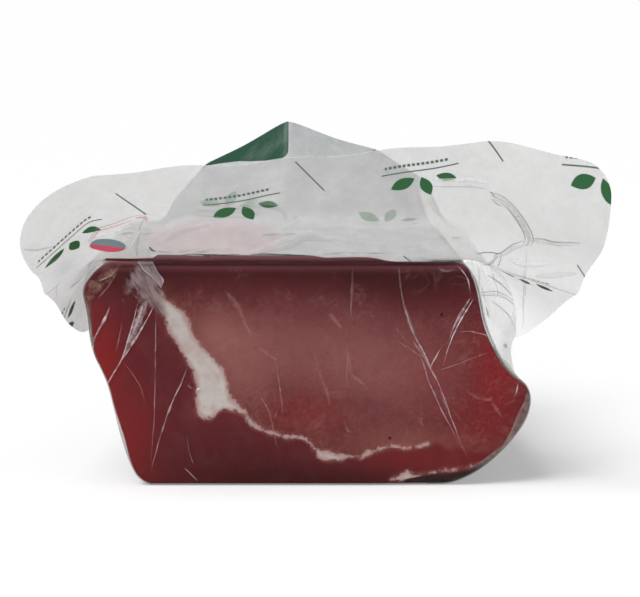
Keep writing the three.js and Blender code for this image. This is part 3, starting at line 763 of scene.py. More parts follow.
def on_face(face_x, face_z):
    """The place on the pocket film in front of x and z. It swells from the face's edge to its
    middle with one less the square of the share of the way out, and falls back past the edge."""
    edge = film_rings[FILM_FACE_RINGS][:, [0, 2]] - LOIN_MIDDLE
    angle, reach = np.arctan2(edge[:, 1], edge[:, 0]), np.hypot(*edge.T)
    order = np.argsort(angle)
    out_x, out_z = face_x - LOIN_MIDDLE[0], face_z - LOIN_MIDDLE[1]
    limit = np.interp(np.arctan2(out_z, out_x), angle[order], reach[order], period=2 * np.pi)
    share = np.hypot(out_x, out_z) / limit
    past = np.clip((share - 1) * limit / (2 * EDGE_INSET), 0, 1)
    depth = FRONT_Y - FACE_BULGE * np.clip(1 - share**2, 0, 1) + EDGE_DEPTH * past**2
    return np.stack([face_x, depth, face_z], -1)


def ridge(middle, half_width, rise):
    """A slim closed ridge along a path: an ellipse at each place, half_width across and its rise
    times that towards the eye, which closes to a point at both ends with the root of a sine."""
    tangent = np.gradient(middle, axis=0)
    across = np.cross(tangent, TOWARDS_EYE)
    across = across / np.linalg.norm(across, axis=1)[:, None]
    taper = np.sqrt(np.sin(np.linspace(RIDGE_END, np.pi - RIDGE_END, len(middle))))
    wide = np.broadcast_to(half_width, len(middle))[:, None, None]
    turn = np.linspace(0, 2 * np.pi, RIDGE_SIDES, endpoint=False)[:, None]
    around = across[:, None] * wide * np.cos(turn) + TOWARDS_EYE * rise * wide * np.sin(turn)
    return middle[:, None] + around * taper[:, None, None]


def joined(skins):
    """One set of points and faces from many skins, each a tuple of points, quads and triangles."""
    starts = np.cumsum([0] + [len(skin[0]) for skin in skins[:-1]])
    quads = np.concatenate([skin[1] + start for skin, start in zip(skins, starts)])
    caps = np.concatenate([skin[2] + start for skin, start in zip(skins, starts)])
    return np.concatenate([skin[0] for skin in skins]), quads, caps


def thin_film(finish, cover, colour, roughness, shine, normal):
    """A film that hides what is behind it by a share. The faces away from the eye are clear, so
    that a closed sheet is seen once."""
    facing = 1 - finish.node("ShaderNodeNewGeometry", {}, {}, "Backfacing")
    film = finish.node("ShaderNodeBsdfPrincipled", {}, {
        "Base Color": colour, "Roughness": roughness, "Specular IOR Level": shine, "Normal": normal,
    })
    nothing = finish.node("ShaderNodeBsdfTransparent")
    finish.surface(finish.either(cover * facing, nothing, film))


skins, whiteness_and_glint = [], []
for white_and_glint, corners in POCKET_CREASES:
    path = smooth_path(corners, 10 + 14 * len(corners))
    middle = on_face(path[:, 0], path[:, 1]) + TOWARDS_EYE * PLEAT_SINK
    middle[:, 0] += PLEAT_WANDER * cloud(middle, 1.8, 41)
    half_width = path[:, 2] * (PLEAT_SLIM + PLEAT_UNEVEN * cloud(middle, 1.3, 42))
    skins.append(skin_over(ridge(middle, half_width, PLEAT_HEIGHT)))
    whiteness_and_glint.append(np.full(len(skins[-1][0]), white_and_glint))
points, quads, caps = joined(skins)

pleat = Finish(bpy.data.materials.new("pleated_film"))
broken = pleat.noise(pleat.place(), 0.7, 3, 0.6)
gaps = pleat.noise(pleat.place(), 0.35, 3, 0.6).step(0.36, 0.58)
# The cover carries the pleats' whitened film and their painted highlight.
cover = (pleat.attribute("white_and_glint") * (0.1 + 0.5 * gaps + 0.7 * broken)).part()
pleat_tone = pleat.blend(broken, tint(234, 200, 204), tint(253, 239, 241))
thin_film(pleat, cover, pleat_tone, 0.22, 0.8, pleat.bump(broken, 0.3, 0.4))
pocket_creases = add_piece("pocket_creases", points, [quads, caps], pleat.owner,
                           {"white_and_glint": np.concatenate(whiteness_and_glint)})

# --- The printed lid film ------------------------------------------------------------------------
# A milky lid film, sealed to the pocket's edge. Its flanges curl up in front and behind and droop at
# the sides. It is printed with leaves and fine lines, and a plain green field at its back corner.

LID_LEVEL = 57.3
LID_THICKNESS = 0.16
ROOT_DIP, ROOT_REACH = 0.4, 1.6  # how the lid is drawn down along the meat's front edge
ROOT_EASE = 6  # from the pocket's left edge, over which the dip comes in
ROOT_RIGHT = 34  # flat x from which it goes out again
# The film's crumples: height, size across, along and up, and seed.
CRUMPLES = [(0.5, (9, 7, 1), 11), (0.3, (4, 5, 1), 12), (0.08, (2.2, 2.6, 1), 13)]
FRONT_CRUMPLE = 0.22  # in front, as a share of the crumples behind
LID_CELLS = (44, 76, 58), (72, 56, 50)  # over the three spans across, and along
# Painted shade on the flanges: greyer places, as lobes over the flat film.
PAINTED_SHADES = [(-62, -46, 4, 5, 0.9), (-58, -30, 9, 9, 0.5), (-46, -46, 5, 3, 0.2),
          (60, -28, 16, 20, 0.32), (60, -8, 12, 10, 0.3), (56, -60, 30, 18, 0.14),
          (45, -44, 7, 7, 0.25)]
FRONT_FLANGE = 38
BACK_FLANGE = 28
BACK_POINT = 7
PEAK_X = -6.5
PEAK_LEFT = 26
PEAK_RIGHT = 30
PEAK_ROUND = 2
POCKET_LEFT = (-52, -46.5)
POCKET_RIGHT = (39, 35.5)
FRONT_BEND, BACK_BEND, LEFT_BEND, RIGHT_BEND = 5, 6, 6, 8
FRONT_CORNERS = (14, 7)  # radii of the film's corners, left and right
BACK_CORNERS = (12, 12)
# Degrees that the flanges turn, up in front and behind and down at the sides, or the other way
# where they are below 0, and the side flanges' widths, each after the flat x or y where it holds.
FRONT_LIFT = [(-72, 33), (-45, 43.5), (-15, 48.5), (15, 55), (45, 60.5), (72, 42)]
BACK_LIFT = [(-46, -25), (-38, 6.5), (-29, 27.5), (-6.5, 50), (18, 38), (32, 19), (38, -10)]
LEFT_DROOP = [(-78, 10), (-60, 33), (-45, 30), (-30, 51), (-15, 70), (0, 78), (40, 80)]
LEFT_WIDTH = [(-78, 21.5), (-60, 19.5), (-45, 16.6), (-30, 18.5), (-15, 24.5), (0, 28), (40, 25)]
RIGHT_DROOP = [(-78, -3), (-60, 11), (-45, 15), (-30, 28), (-15, 48), (0, 66), (40, 76)]
RIGHT_WIDTH = [(-78, 34), (-60, 33.8), (-45, 29.6), (-30, 28.4), (-15, 29.6), (0, 32), (40, 31)]


def bent(distance, degrees, radius):
    """How far along and how far up a strip gets, a distance past the start of a bend that turns it
    by an angle round a radius."""
    angle = np.radians(np.abs(degrees))
    turned = np.minimum(distance, radius * angle) / radius
    straight = np.maximum(distance - radius * angle, 0)
    along = radius * np.sin(turned) + straight * np.cos(angle)
    up = radius * (1 - np.cos(turned)) + straight * np.sin(angle)
    return along, np.sign(degrees) * up


def corner_cut(distance, radius):
    """How much a round corner takes off the width, at a distance from the cut edge."""
    inside = radius - np.clip(distance, 0, radius)
    return radius - np.sqrt(radius**2 - inside**2)


def lid_surface(u, v):
    """The lid's middle surface and its flat x and y. Across, u runs -1 to 0 over the left flange, 0
    to 1 over the pocket and 1 to 2 over the right one. Along, v does so from front to back. Each
    flange leaves the flat lid by a bend and goes on straight, with a long low ripple."""
    share = np.clip(v, 0, 1)
    front_distance = FRONT_FLANGE * np.maximum(-v, 0)
    back_share = np.maximum(v - 1, 0)
    pocket_y = FRONT_Y + (BACK_Y - FRONT_Y) * share
    flat_y = pocket_y - front_distance + BACK_FLANGE * back_share
    from_front, from_back = flat_y - (FRONT_Y - FRONT_FLANGE), BACK_Y + BACK_FLANGE - flat_y
    cuts = [
        corner_cut(from_front, front) + corner_cut(from_back, back)
        for front, back in zip(FRONT_CORNERS, BACK_CORNERS)
    ]
    left = np.maximum(-u, 0) * (smooth_profile(LEFT_WIDTH, flat_y) - cuts[0])
    right = np.maximum(u - 1, 0) * (smooth_profile(RIGHT_WIDTH, flat_y) - cuts[1])
    left_x = POCKET_LEFT[0] + (POCKET_LEFT[1] - POCKET_LEFT[0]) * share
    right_x = POCKET_RIGHT[0] + (POCKET_RIGHT[1] - POCKET_RIGHT[0]) * share
    pocket_x = left_x + (right_x - left_x) * np.clip(u, 0, 1)
    flat_x = pocket_x - left + right
    left_along, left_up = bent(left, -smooth_profile(LEFT_DROOP, flat_y), LEFT_BEND)
    right_along, right_up = bent(right, -smooth_profile(RIGHT_DROOP, flat_y), RIGHT_BEND)
    front_along, front_up = bent(front_distance, smooth_profile(FRONT_LIFT, flat_x), FRONT_BEND)
    away = np.hypot(flat_x - PEAK_X, PEAK_ROUND) - PEAK_ROUND
    point = np.clip(1 - away / np.where(flat_x < PEAK_X, PEAK_LEFT, PEAK_RIGHT), 0, 1)
    back_lift = np.interp(flat_x, *np.array(BACK_LIFT).T)
    back_along, back_up = bent(back_share * (BACK_FLANGE + BACK_POINT * point), back_lift, BACK_BEND)
    free = np.clip(np.maximum(FRONT_Y - flat_y, flat_y - BACK_Y) / FRONT_FLANGE, 0, 1)
    ripple = 0.4 * free * np.sin(flat_x / 4 + flat_y / 23)
    middle = np.stack([
        pocket_x - left_along + right_along,
        pocket_y - front_along + back_along,
        LID_LEVEL + left_up + right_up + front_up + back_up + ripple,
    ], -1)
    return middle, flat_x, flat_y


def eased_spans(cells):
    """Places over the spans -1 to 0, 0 to 1 and 1 to 2, crowded towards the two cut edges."""
    outer = [np.sin(np.linspace(0, np.pi / 2, count + 1)) for count in (cells[0], cells[2])]
    inner = np.linspace(0, 1, cells[1] + 1)[1:-1]
    return np.concatenate([-outer[0][::-1], inner, 1 + outer[1]])


def sheet_normals(sheet):
    """Unit normals of a grid of points: its two directions' differences crossed."""
    along, across = np.gradient(sheet, axis=(0, 1))
    normals = np.cross(across, along)
    return normals / np.linalg.norm(normals, axis=-1, keepdims=True)


def sheet_solid(sheet, thickness):
    """A thin closed solid on both sides of a grid of points: two skins half the thickness away,
    joined by a rim."""
    rows, columns = sheet.shape[:2]
    shift = sheet_normals(sheet) * thickness / 2
    points = np.concatenate([(sheet + shift).reshape(-1, 3), (sheet - shift).reshape(-1, 3)])
    number = np.arange(rows * columns).reshape(rows, columns)
    upper = np.stack([number[:-1, :-1], number[:-1, 1:], number[1:, 1:], number[1:, :-1]], -1)
    upper = upper.reshape(-1, 4)
    lower = upper[:, ::-1] + rows * columns
    rim = np.concatenate([number[0, :-1], number[:-1, -1], number[-1, :0:-1], number[:0:-1, 0]])
    after = np.roll(rim, -1)
    sides = np.stack([rim, rim + rows * columns, after + rows * columns, after], -1)
    return points, np.concatenate([upper, lower, sides])


u, v = np.meshgrid(*map(eased_spans, LID_CELLS))
sheet, flat_x, flat_y = lid_surface(u, v)
flat_points = np.stack([flat_x, flat_y, 0 * flat_x], -1)
crumple = sum(height * cloud(flat_points, size, seed) for height, size, seed in CRUMPLES)
from_edge = np.minimum(np.minimum(u + 1, 2 - u), np.minimum(v + 1, 2 - v))
behind = ease(v, -0.15, 0.15)
crumple = crumple * (FRONT_CRUMPLE + (1 - FRONT_CRUMPLE) * behind) * ease(from_edge, 0, 0.3)
sheet += sheet_normals(sheet) * crumple[..., None]
over_meat = ease(flat_x, POCKET_LEFT[0], POCKET_LEFT[0] + ROOT_EASE)
over_meat = over_meat * (1 - ease(flat_x, ROOT_RIGHT, POCKET_RIGHT[0]))
sheet[..., 2] -= ROOT_DIP * over_meat * np.exp(-((flat_y - FRONT_Y) / ROOT_REACH) ** 2)
# Where the right flange droops low its film is thinner and painted lighter, a painted light on its
# shade.
low_wing_thin_and_lit = ease(u, 0.98, 1.1) * (0.35 * ease(v, -0.5, 0) + 0.65 * ease(v, 0.05, 0.5))
lid_points, lid_faces = sheet_solid(sheet, LID_THICKNESS)
lid_marks = {
    "flat": np.tile(flat_points.reshape(-1, 3), (2, 1)),
    "low_wing_thin_and_lit": np.tile(low_wing_thin_and_lit.ravel(), 2),
    "painted_shade_grey": np.tile(lobes(flat_x, flat_y, PAINTED_SHADES).ravel(), 2),
}

lid = Finish(bpy.data.materials.new("milky_lid_film"))
flat = lid.attribute("flat", "Vector")
across = lid.node("ShaderNodeSeparateXYZ", {}, {0: flat}, "X")
along = lid.node("ShaderNodeSeparateXYZ", {}, {0: flat}, "Y")
milky = lid.noise(flat, 0.16, 5, 0.6)
fibre = lid.noise(flat, 1.1, 4, 0.6)

# The print repeats in staggered rows, turned a little. In each cell a sprig of leaves stands over a
# level line and a row of fine dashes, with one slanted stroke beside them. Sizes in millimetres.
PRINT_COLUMN = 44
PRINT_ROW = 36
PRINT_TURN = math.radians(-8)
PRINT_START = (28, 11)
SOFT_EDGE = 0.1
FINE_LINE = 0.42
DASH_SHARE = 0.34  # half of each dash's width, as a share of the pitch


def turned(x, y, middle, angle):
    """Places from a middle: along a direction turned by an angle, and to the left of it."""
    cos, sin = math.cos(angle), math.sin(angle)
    x, y = x - middle[0], y - middle[1]
    return x * cos + y * sin, y * cos - x * sin


def inked(inside):
    """1 where a distance inside a printed shape is above 0, and 0 outside it, with a soft edge."""
    return inside.step(-SOFT_EDGE, SOFT_EDGE)


print_x, print_y = turned(across, along, (0, 0), PRINT_TURN)
print_x, print_y = print_x + PRINT_START[0], print_y + PRINT_START[1]
row = (print_y / PRINT_ROW).floor()
shifted = print_x + row * (PRINT_COLUMN / 2)
cell_x = shifted.wrapped(PRINT_COLUMN) - PRINT_COLUMN / 2
cell_y = print_y.wrapped(PRINT_ROW) - PRINT_ROW / 2


def leaf(middle, degrees, length, width):
    """A pointed oval: inside where its half width there, a parabola along it, beats the distance
    from its middle line."""
    place, side = turned(cell_x, cell_y, middle, math.radians(degrees))
    half = (1 - (place / (length / 2)) ** 2) * (width / 2)
    return inked(half - side.absolute())


def stroke(middle, degrees, length, width):
    """A straight stroke with square ends."""
    place, side = turned(cell_x, cell_y, middle, math.radians(degrees))
    return inked(length / 2 - place.absolute()) * inked(width / 2 - side.absolute())


def dashes(height, start, end, pitch, width):
    """A row of fine strokes: a level band between two places, cut by a sawtooth of a pitch."""
    tooth = (cell_x.wrapped(pitch) - pitch / 2).absolute()
    reach = (cell_x - (start + end) / 2).absolute()
    band = inked(width / 2 - (cell_y - height).absolute()) * inked(pitch * DASH_SHARE - tooth)
    return band * ((end - start) / 2 - reach).step(0, SOFT_EDGE)


fine_print = stroke((-1.5, -1.6), 0, 19, FINE_LINE).higher(dashes(-3.6, -10, 6, 1.15, 0.85))
fine_print = fine_print.higher(stroke((16, -6), 62, 12, FINE_LINE))
leaf_print = leaf((-6.2, 1.9), 158, 6.6, 3.4).higher(leaf((-0.6, 3.4), 74, 6.0, 2.9))
leaf_print = leaf_print.higher(leaf((4.6, 1.7), 24, 5.2, 2.5))

# The green field fills the back corner as far as a round corner of its own. Its lower edge slants.
FIELD_RIGHT = -6.2
FIELD_LEFT = -30.6
FIELD_LOW = 57.2
FIELD_SLANT = 0.42
FIELD_CORNER = 3.2
past_right = (across - (FIELD_RIGHT - FIELD_CORNER)).higher(0)
past_low = ((FIELD_LOW + FIELD_CORNER) - along - (across - FIELD_RIGHT) * FIELD_SLANT).higher(0)
field_reach = (past_right * past_right + past_low * past_low) ** 0.5
green_field = inked(FIELD_CORNER - field_reach) * (across - FIELD_LEFT).step(0, 0.3)

# A second layer, the lid's paper-like backing, ends at a line on each side and at the meat's front
# edge. In front of that edge is a narrow band painted with the meat's colour, dark with painted shade
# near the root and paler with haze further out, except at its left end. At the left front is a small
# two-coloured patch, and some of the backing is tinged pink.
BACKING_LEFT = -42.4
BACKING_RIGHT = (34.6, -0.07)  # flat x where flat y is 0, and its slope
CLEAR_DEPTH = 3.1  # of the clear band near its left end
CLEAR_LEFT = (-52, -50.6)
# From the left, the stretches of flat x over which the band's depth changes, and by how much.
CLEAR_CHANGES = [(-39.5, -37.5, 1.5), (-1, 5, -0.9), (14, 22, -2.3), (31, 35, -1.2)]
PATCH, PATCH_SIZE = (-50, -48.7), (4.7, 2.9)  # flat x and y, then half its length and height
PATCH_TURN = math.radians(14)
PINK, PINK_SIZE = (-25, 2), (19, 44)
wander = (milky - 0.5) * 3
clear_depth = sum(across.step(start, end) * change for start, end, change in CLEAR_CHANGES)
clear_depth = (clear_depth + CLEAR_DEPTH) * across.step(*CLEAR_LEFT) + wander * 0.12
backing = (across - BACKING_LEFT + wander).step(-0.4, 0.4)
backing = backing * (BACKING_RIGHT[0] + along * BACKING_RIGHT[1] - across + wander).step(-0.4, 0.4)
backing = backing * (along - FRONT_Y).step(-0.3, 0.2)
past_lid = (along - BACK_Y).step(0, 6)
pink_x, pink_y = (across - PINK[0]) / PINK_SIZE[0], (along - PINK[1]) / PINK_SIZE[1]
pink = 1 - (pink_x**2 + pink_y**2 + wander * 0.1).step(0.5, 1.2)
patch_x, patch_y = turned(across, along, PATCH, PATCH_TURN)
patch = 1 - ((patch_x / PATCH_SIZE[0]) ** 2 + (patch_y / PATCH_SIZE[1]) ** 2).step(0.85, 1.05)
patch_tone = lid.blend(patch_y.step(0.1, 0.3), tint(140, 164, 170), tint(240, 96, 122))
meat_and_shade_painted = (along - FRONT_Y + clear_depth).step(-0.1, 0.5) * (FRONT_Y - along).step(-0.6, -0.2)
hazed = (FRONT_Y - along).step(0.5, 4) * across.step(-41, -37)

# The drooping right wing: thinner film, and a painted light on its colour.
hanging_thin_and_lit = lid.attribute("low_wing_thin_and_lit")
paper = milky.step(0.35, 0.65)
film_colour = lid.layers(
    lid.blend(milky.step(0.3, 0.7), tint(226, 226, 225), tint(240, 239, 238)),
    (hanging_thin_and_lit, tint(242, 241, 240)),
    # painted shade on the flanges
    (lid.attribute("painted_shade_grey") * 0.6, tint(150, 150, 152)),
    (backing, lid.blend(paper, tint(202, 202, 205), tint(226, 226, 228))),
    (pink * backing * 0.6, tint(236, 176, 184)),
    # past the lid's back edge the backing is painted darker, a painted shade on the back flange
    (backing * past_lid, lid.blend(paper, tint(160, 163, 164), tint(178, 181, 181))),
    # the meat painted on the band, dark with painted shade near the root
    (meat_and_shade_painted, lid.blend(hazed, tint(98, 40, 46), tint(140, 96, 102))),
    (fine_print, tint(104, 132, 116)),
    (leaf_print, tint(52, 116, 68)),
    (green_field, tint(0, 62, 38)),
    (patch, patch_tone),
)
ink = (fine_print * 0.7).higher(leaf_print).higher(green_field).higher(patch)
body = (0.62 + 0.28 * backing) * (1 - 0.85 * hanging_thin_and_lit * (1 - backing)) + 0.4 * meat_and_shade_painted
body = body + (milky - 0.5) * (0.06 + 0.12 * backing)
fine_waves = lid.bump(fibre * 0.12 + milky * (0.5 + 2.6 * backing * (1 - past_lid)), 1.0, 0.45)
thin_film(lid, (body + ink * 0.6).part(), film_colour, 0.34, 0.3, fine_waves)
printed_lid = add_piece("printed_lid", lid_points, [lid_faces], lid.owner, lid_marks)
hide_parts("lid_film")

# --- The film beside the meat --------------------------------------------------------------------
# At both ends the pocket's film stretches free from the meat's front edge to the lid's drooping
# flange. Each web is a ruled sheet that hangs in a little between the two edges.

WEB_DEPTH = FRONT_Y + EDGE_DEPTH
RIGHT_EDGE = [(38.8, 56.2), (41.3, 52), (44.3, 39.5), (48.4, 31.2), (51.6, 27.6)]  # x and z
LEFT_EDGE = [(-50.5, 56.6), (-54.8, 53.4), (-57, 49.5), (-56, 43.2), (-55.4, 38.4), (-54.3, 33.2),
             (-53.2, 30.6)]
RIGHT_FLANGE = (1.02, 0.02), (1.99, 0.5)  # u and v on the lid, at the line's start and at its end
LEFT_FLANGE = (-0.02, 0.02), (-0.99, 0.58)
WEB_SAG = 1.2
WEB_THICKNESS = 0.12
WEB_STEPS = 200
WEB_WAVES = [(0.25, (3, 9, 5), 21), (0.1, (1.6, 4, 2.4), 22)]  # as the lid's crumples are given


def web_between(edge, flange):
    """A ruled sheet: share runs down the meat's edge and the flange together, and across goes from
    one to the other, drawn in by the square of the way down times across times one less across."""
    meat_side = smooth_path(edge, WEB_STEPS)
    places = np.linspace(0, 1, WEB_STEPS)

    def surface(share, across):
        edge_x, edge_z = (np.interp(share, places, column) for column in meat_side.T)
        start = np.stack([edge_x, WEB_DEPTH + 0 * share, edge_z], -1)
        end = lid_surface(*(first + (last - first) * share for first, last in zip(*flange)))[0]
        hang = WEB_SAG * 4 * across * (1 - across) * share**2
        sheet = start + (end - start) * across[..., None]
        sheet[..., 0] -= np.sign(end[..., 0]) * hang
        sheet[..., 2] += hang
        return sheet

    return surface


on_right_web = web_between(RIGHT_EDGE, RIGHT_FLANGE)
on_left_web = web_between(LEFT_EDGE, LEFT_FLANGE)
across_web, down_web = np.meshgrid(np.linspace(0, 1, 40), np.linspace(0, 1, 60))
skins, free = [], []
for web in (on_right_web, on_left_web):
    sheet = web(down_web, across_web)
    waves = sum(height * cloud(sheet, size, seed) for height, size, seed in WEB_WAVES)
    sheet[..., 1] += waves * np.sin(np.pi * across_web)
    solid_points, solid_faces = sheet_solid(sheet, WEB_THICKNESS)
    skins.append((solid_points, solid_faces, np.empty((0, 3), int)))
    free.append(np.tile((ease(down_web, 0.7, 0.9) - 0.6 * ease(across_web, 0.3, 1)).ravel(), 2))
points, quads, caps = joined(skins)

# A web is milkiest at its low end beside the meat, and clearest along the flange above it.
web_film = Finish(bpy.data.materials.new("milky_web_film"))
web_milk = web_film.noise(web_film.place(), 0.2, 4, 0.6)
web_tone = web_film.blend(web_milk, tint(226, 225, 224), tint(242, 241, 240))
cover = 0.34 + 0.26 * web_film.attribute("free") + (web_milk - 0.5) * 0.16
thin_film(web_film, cover, web_tone, 0.3, 0.5, web_film.bump(web_milk, 0.8, 0.4))
film_webs = add_piece("film_webs", points, [quads], web_film.owner, {"free": np.concatenate(free)})

# --- Folds in the flanges ------------------------------------------------------------------------
# The flanges are creased where the vacuum pulled on them: sharp folds that run out from the meat's
# upper right corner, a folded triangle at the left front, and a milky pleat that hangs over the face.

# The folds' colours: white is a painted highlight, grey a painted shade and dark a painted shadow
# along the folds, body is the film's own grey and pinkish a tint.
WHITE_HIGHLIGHT, GREY_SHADE, BODY = (248, 248, 248), (150, 152, 150), (196, 198, 196)
DARK_SHADOW, PINKISH = (64, 74, 68), (240, 170, 184)
# The curl above the meat's upper right corner: its middle line, and its two edges.
CURL = [(1.16, -0.61), (1.25, -0.605), (1.32, -0.555), (1.42, -0.455), (1.48, -0.36), (1.47, -0.3)]
CURL_OUTER = [(1.15, -0.635), (1.24, -0.63), (1.34, -0.575), (1.45, -0.47), (1.51, -0.37),
              (1.5, -0.3)]
CURL_INNER = [(1.15, -0.585), (1.22, -0.585), (1.3, -0.54), (1.4, -0.44), (1.45, -0.36),
              (1.44, -0.3)]
LID_CREASES = [
    # colour, cover, half width, and u and v on the lid
    (BODY, 0.40, 0.75, CURL),
    (BODY, 0.34, 0.6, [(1.49, -0.36), (1.58, -0.385), (1.7, -0.4), (1.84, -0.46)]),
    (BODY, 0.34, 0.6, [(1.46, -0.31), (1.38, -0.26), (1.3, -0.19), (1.22, -0.14)]),
    (GREY_SHADE, 0.70, 0.16, CURL_OUTER),
    (GREY_SHADE, 0.60, 0.16, CURL_INNER),
    (WHITE_HIGHLIGHT, 0.55, 0.4, CURL),
    (DARK_SHADOW, 0.55, 0.2, [(1.15, -0.64), (1.18, -0.62), (1.2, -0.6)]),
    (DARK_SHADOW, 0.45, 0.18, [(1.17, -0.585), (1.21, -0.56), (1.25, -0.555)]),
    (GREY_SHADE, 0.60, 0.2, [(1.49, -0.375), (1.56, -0.4), (1.66, -0.405), (1.84, -0.47)]),
    (WHITE_HIGHLIGHT, 0.50, 0.3, [(1.5, -0.35), (1.58, -0.37), (1.7, -0.39)]),
    (GREY_SHADE, 0.60, 0.2, [(1.44, -0.34), (1.36, -0.28), (1.29, -0.2), (1.23, -0.16)]),
    (WHITE_HIGHLIGHT, 0.55, 0.3, [(1.45, -0.31), (1.38, -0.25), (1.31, -0.18)]),
    (DARK_SHADOW, 0.60, 0.16, [(1.08, -0.13), (1.13, -0.155), (1.2, -0.175), (1.29, -0.185)]),
    (DARK_SHADOW, 0.45, 0.14, [(1.29, -0.185), (1.285, -0.12), (1.265, -0.05)]),
    (GREY_SHADE, 0.50, 0.3, [(1.26, -0.16), (1.21, -0.08), (1.15, -0.005)]),
    (WHITE_HIGHLIGHT, 0.50, 0.4, [(1.23, -0.15), (1.18, -0.07), (1.12, -0.005)]),
    (WHITE_HIGHLIGHT, 0.50, 0.16, [(1.47, -0.28), (1.5, -0.12), (1.52, 0.0), (1.64, 0.17), (1.77, 0.31),
                         (1.96, 0.43)]),
    (GREY_SHADE, 0.30, 0.14, [(1.485, -0.28), (1.515, -0.12), (1.535, 0.0), (1.655, 0.17), (1.785, 0.31)]),
    (WHITE_HIGHLIGHT, 0.50, 0.7, [(0.9, -0.74), (0.98, -0.715), (1.14, -0.7)]),
    (GREY_SHADE, 0.30, 0.2, [(0.9, -0.685), (0.98, -0.66), (1.14, -0.65)]),
    (GREY_SHADE, 0.16, 0.9, [(1.6, -0.08), (1.72, -0.12), (1.93, -0.19)]),
    (WHITE_HIGHLIGHT, 0.40, 0.8, [(1.34, -0.16), (1.5, -0.16), (1.68, -0.2)]),
    (GREY_SHADE, 0.30, 0.3, [(-0.96, -0.7), (-0.8, -0.62), (-0.62, -0.55)]),
    (GREY_SHADE, 0.40, 0.18, [(-0.7, -0.06), (-0.8, 0.0), (-0.94, 0.1)]),
    (GREY_SHADE, 0.40, 0.2, [(-0.16, -0.3), (-0.06, -0.38), (0.03, -0.46), (0.1, -0.54), (0.14, -0.55)]),
    (PINKISH, 0.65, 0.24, [(-0.14, -0.285), (-0.04, -0.36), (0.04, -0.44), (0.1, -0.505)]),
    (PINKISH, 0.60, 0.4, [(0.1, -0.52), (0.125, -0.52), (0.13, -0.47)]),
    (WHITE_HIGHLIGHT, 0.65, 0.3, [(-0.06, -0.3), (0.03, -0.36), (0.09, -0.44)]),
    (GREY_SHADE, 0.55, 0.16, [(0.13, -0.53), (0.115, -0.44), (0.11, -0.36)]),
    (WHITE_HIGHLIGHT, 0.60, 0.3, [(0.12, -0.42), (0.1, -0.3), (0.08, -0.18)]),
    (GREY_SHADE, 0.28, 0.34, [(0.11, -0.34), (0.1, -0.2), (0.1, -0.1)]),
    (DARK_SHADOW, 0.75, 0.3, [(0.135, -0.2), (0.14, -0.17), (0.15, -0.15)]),
    (DARK_SHADOW, 0.85, 0.2, [(0.22, -0.11), (0.25, -0.125), (0.29, -0.12), (0.33, -0.115), (0.38, -0.12)]),
    (DARK_SHADOW, 0.85, 0.22, [(0.41, -0.12), (0.45, -0.122), (0.5, -0.117), (0.56, -0.11)]),
    (WHITE_HIGHLIGHT, 0.14, 1.0, [(0.37, -0.61), (0.44, -0.62), (0.5, -0.58), (0.535, -0.46), (0.48, -0.34)]),
    (GREY_SHADE, 0.14, 0.6, [(0.36, -0.58), (0.44, -0.58), (0.49, -0.54), (0.51, -0.44)]),
    (WHITE_HIGHLIGHT, 0.20, 0.9, [(0.42, -0.15), (0.49, -0.24), (0.56, -0.32), (0.64, -0.28), (0.76, -0.2)]),
    (GREY_SHADE, 0.16, 0.7, [(0.43, -0.13), (0.51, -0.19), (0.57, -0.27), (0.64, -0.23)]),
    (WHITE_HIGHLIGHT, 0.13, 1.1, [(0.14, -0.28), (0.2, -0.42), (0.29, -0.5), (0.38, -0.46)]),
    (GREY_SHADE, 0.12, 0.8, [(0.17, -0.24), (0.23, -0.36), (0.3, -0.43)]),
    (DARK_SHADOW, 0.75, 0.32, [(0.28, -0.115), (0.29, -0.105), (0.3, -0.11)]),
    (DARK_SHADOW, 0.90, 0.3, [(0.88, -0.03), (0.91, -0.04), (0.94, -0.035), (0.965, -0.03), (0.985, -0.02)]),
]
WEB_CREASES = [
    # colour, cover, half width, and share and across on the right web
    (WHITE_HIGHLIGHT, 0.9, 0.3, [(0.02, 0.02), (0.3, 0.03), (0.6, 0.03), (0.97, 0.03)]),
    (DARK_SHADOW, 0.35, 0.12, [(0.1, 0.0), (0.5, 0.0), (0.9, 0.0)]),
    (GREY_SHADE, 0.5, 0.16, [(0.27, 0.06), (0.36, 0.35), (0.48, 0.66), (0.7, 0.98)]),
    (WHITE_HIGHLIGHT, 0.6, 0.3, [(0.29, 0.06), (0.39, 0.35), (0.52, 0.66), (0.74, 0.98)]),
    (WHITE_HIGHLIGHT, 0.6, 0.22, [(0.24, 0.04), (0.2, 0.3), (0.14, 0.7)]),
    (GREY_SHADE, 0.5, 0.2, [(0.28, 0.68), (0.46, 0.84), (0.66, 0.98)]),
    (GREY_SHADE, 0.6, 0.14, [(0.47, 0.42), (0.66, 0.64), (0.95, 0.97)]),
    (DARK_SHADOW, 0.5, 0.5, [(0.84, 0.3), (0.87, 0.34), (0.9, 0.34)]),
]
LEFT_WEB_CREASES = [  # the same on the left web
    (WHITE_HIGHLIGHT, 0.8, 0.26, [(0.2, 0.04), (0.5, 0.04), (0.8, 0.04), (0.97, 0.04)]),
    (GREY_SHADE, 0.5, 0.16, [(0.06, 0.3), (0.3, 0.2), (0.46, 0.04)]),
]
FOLD_HEIGHT = 0.7  # of its half width
FOLD_STANDOFF = 0.15


def on_lid(u, v):
    return lid_surface(u, v)[0]


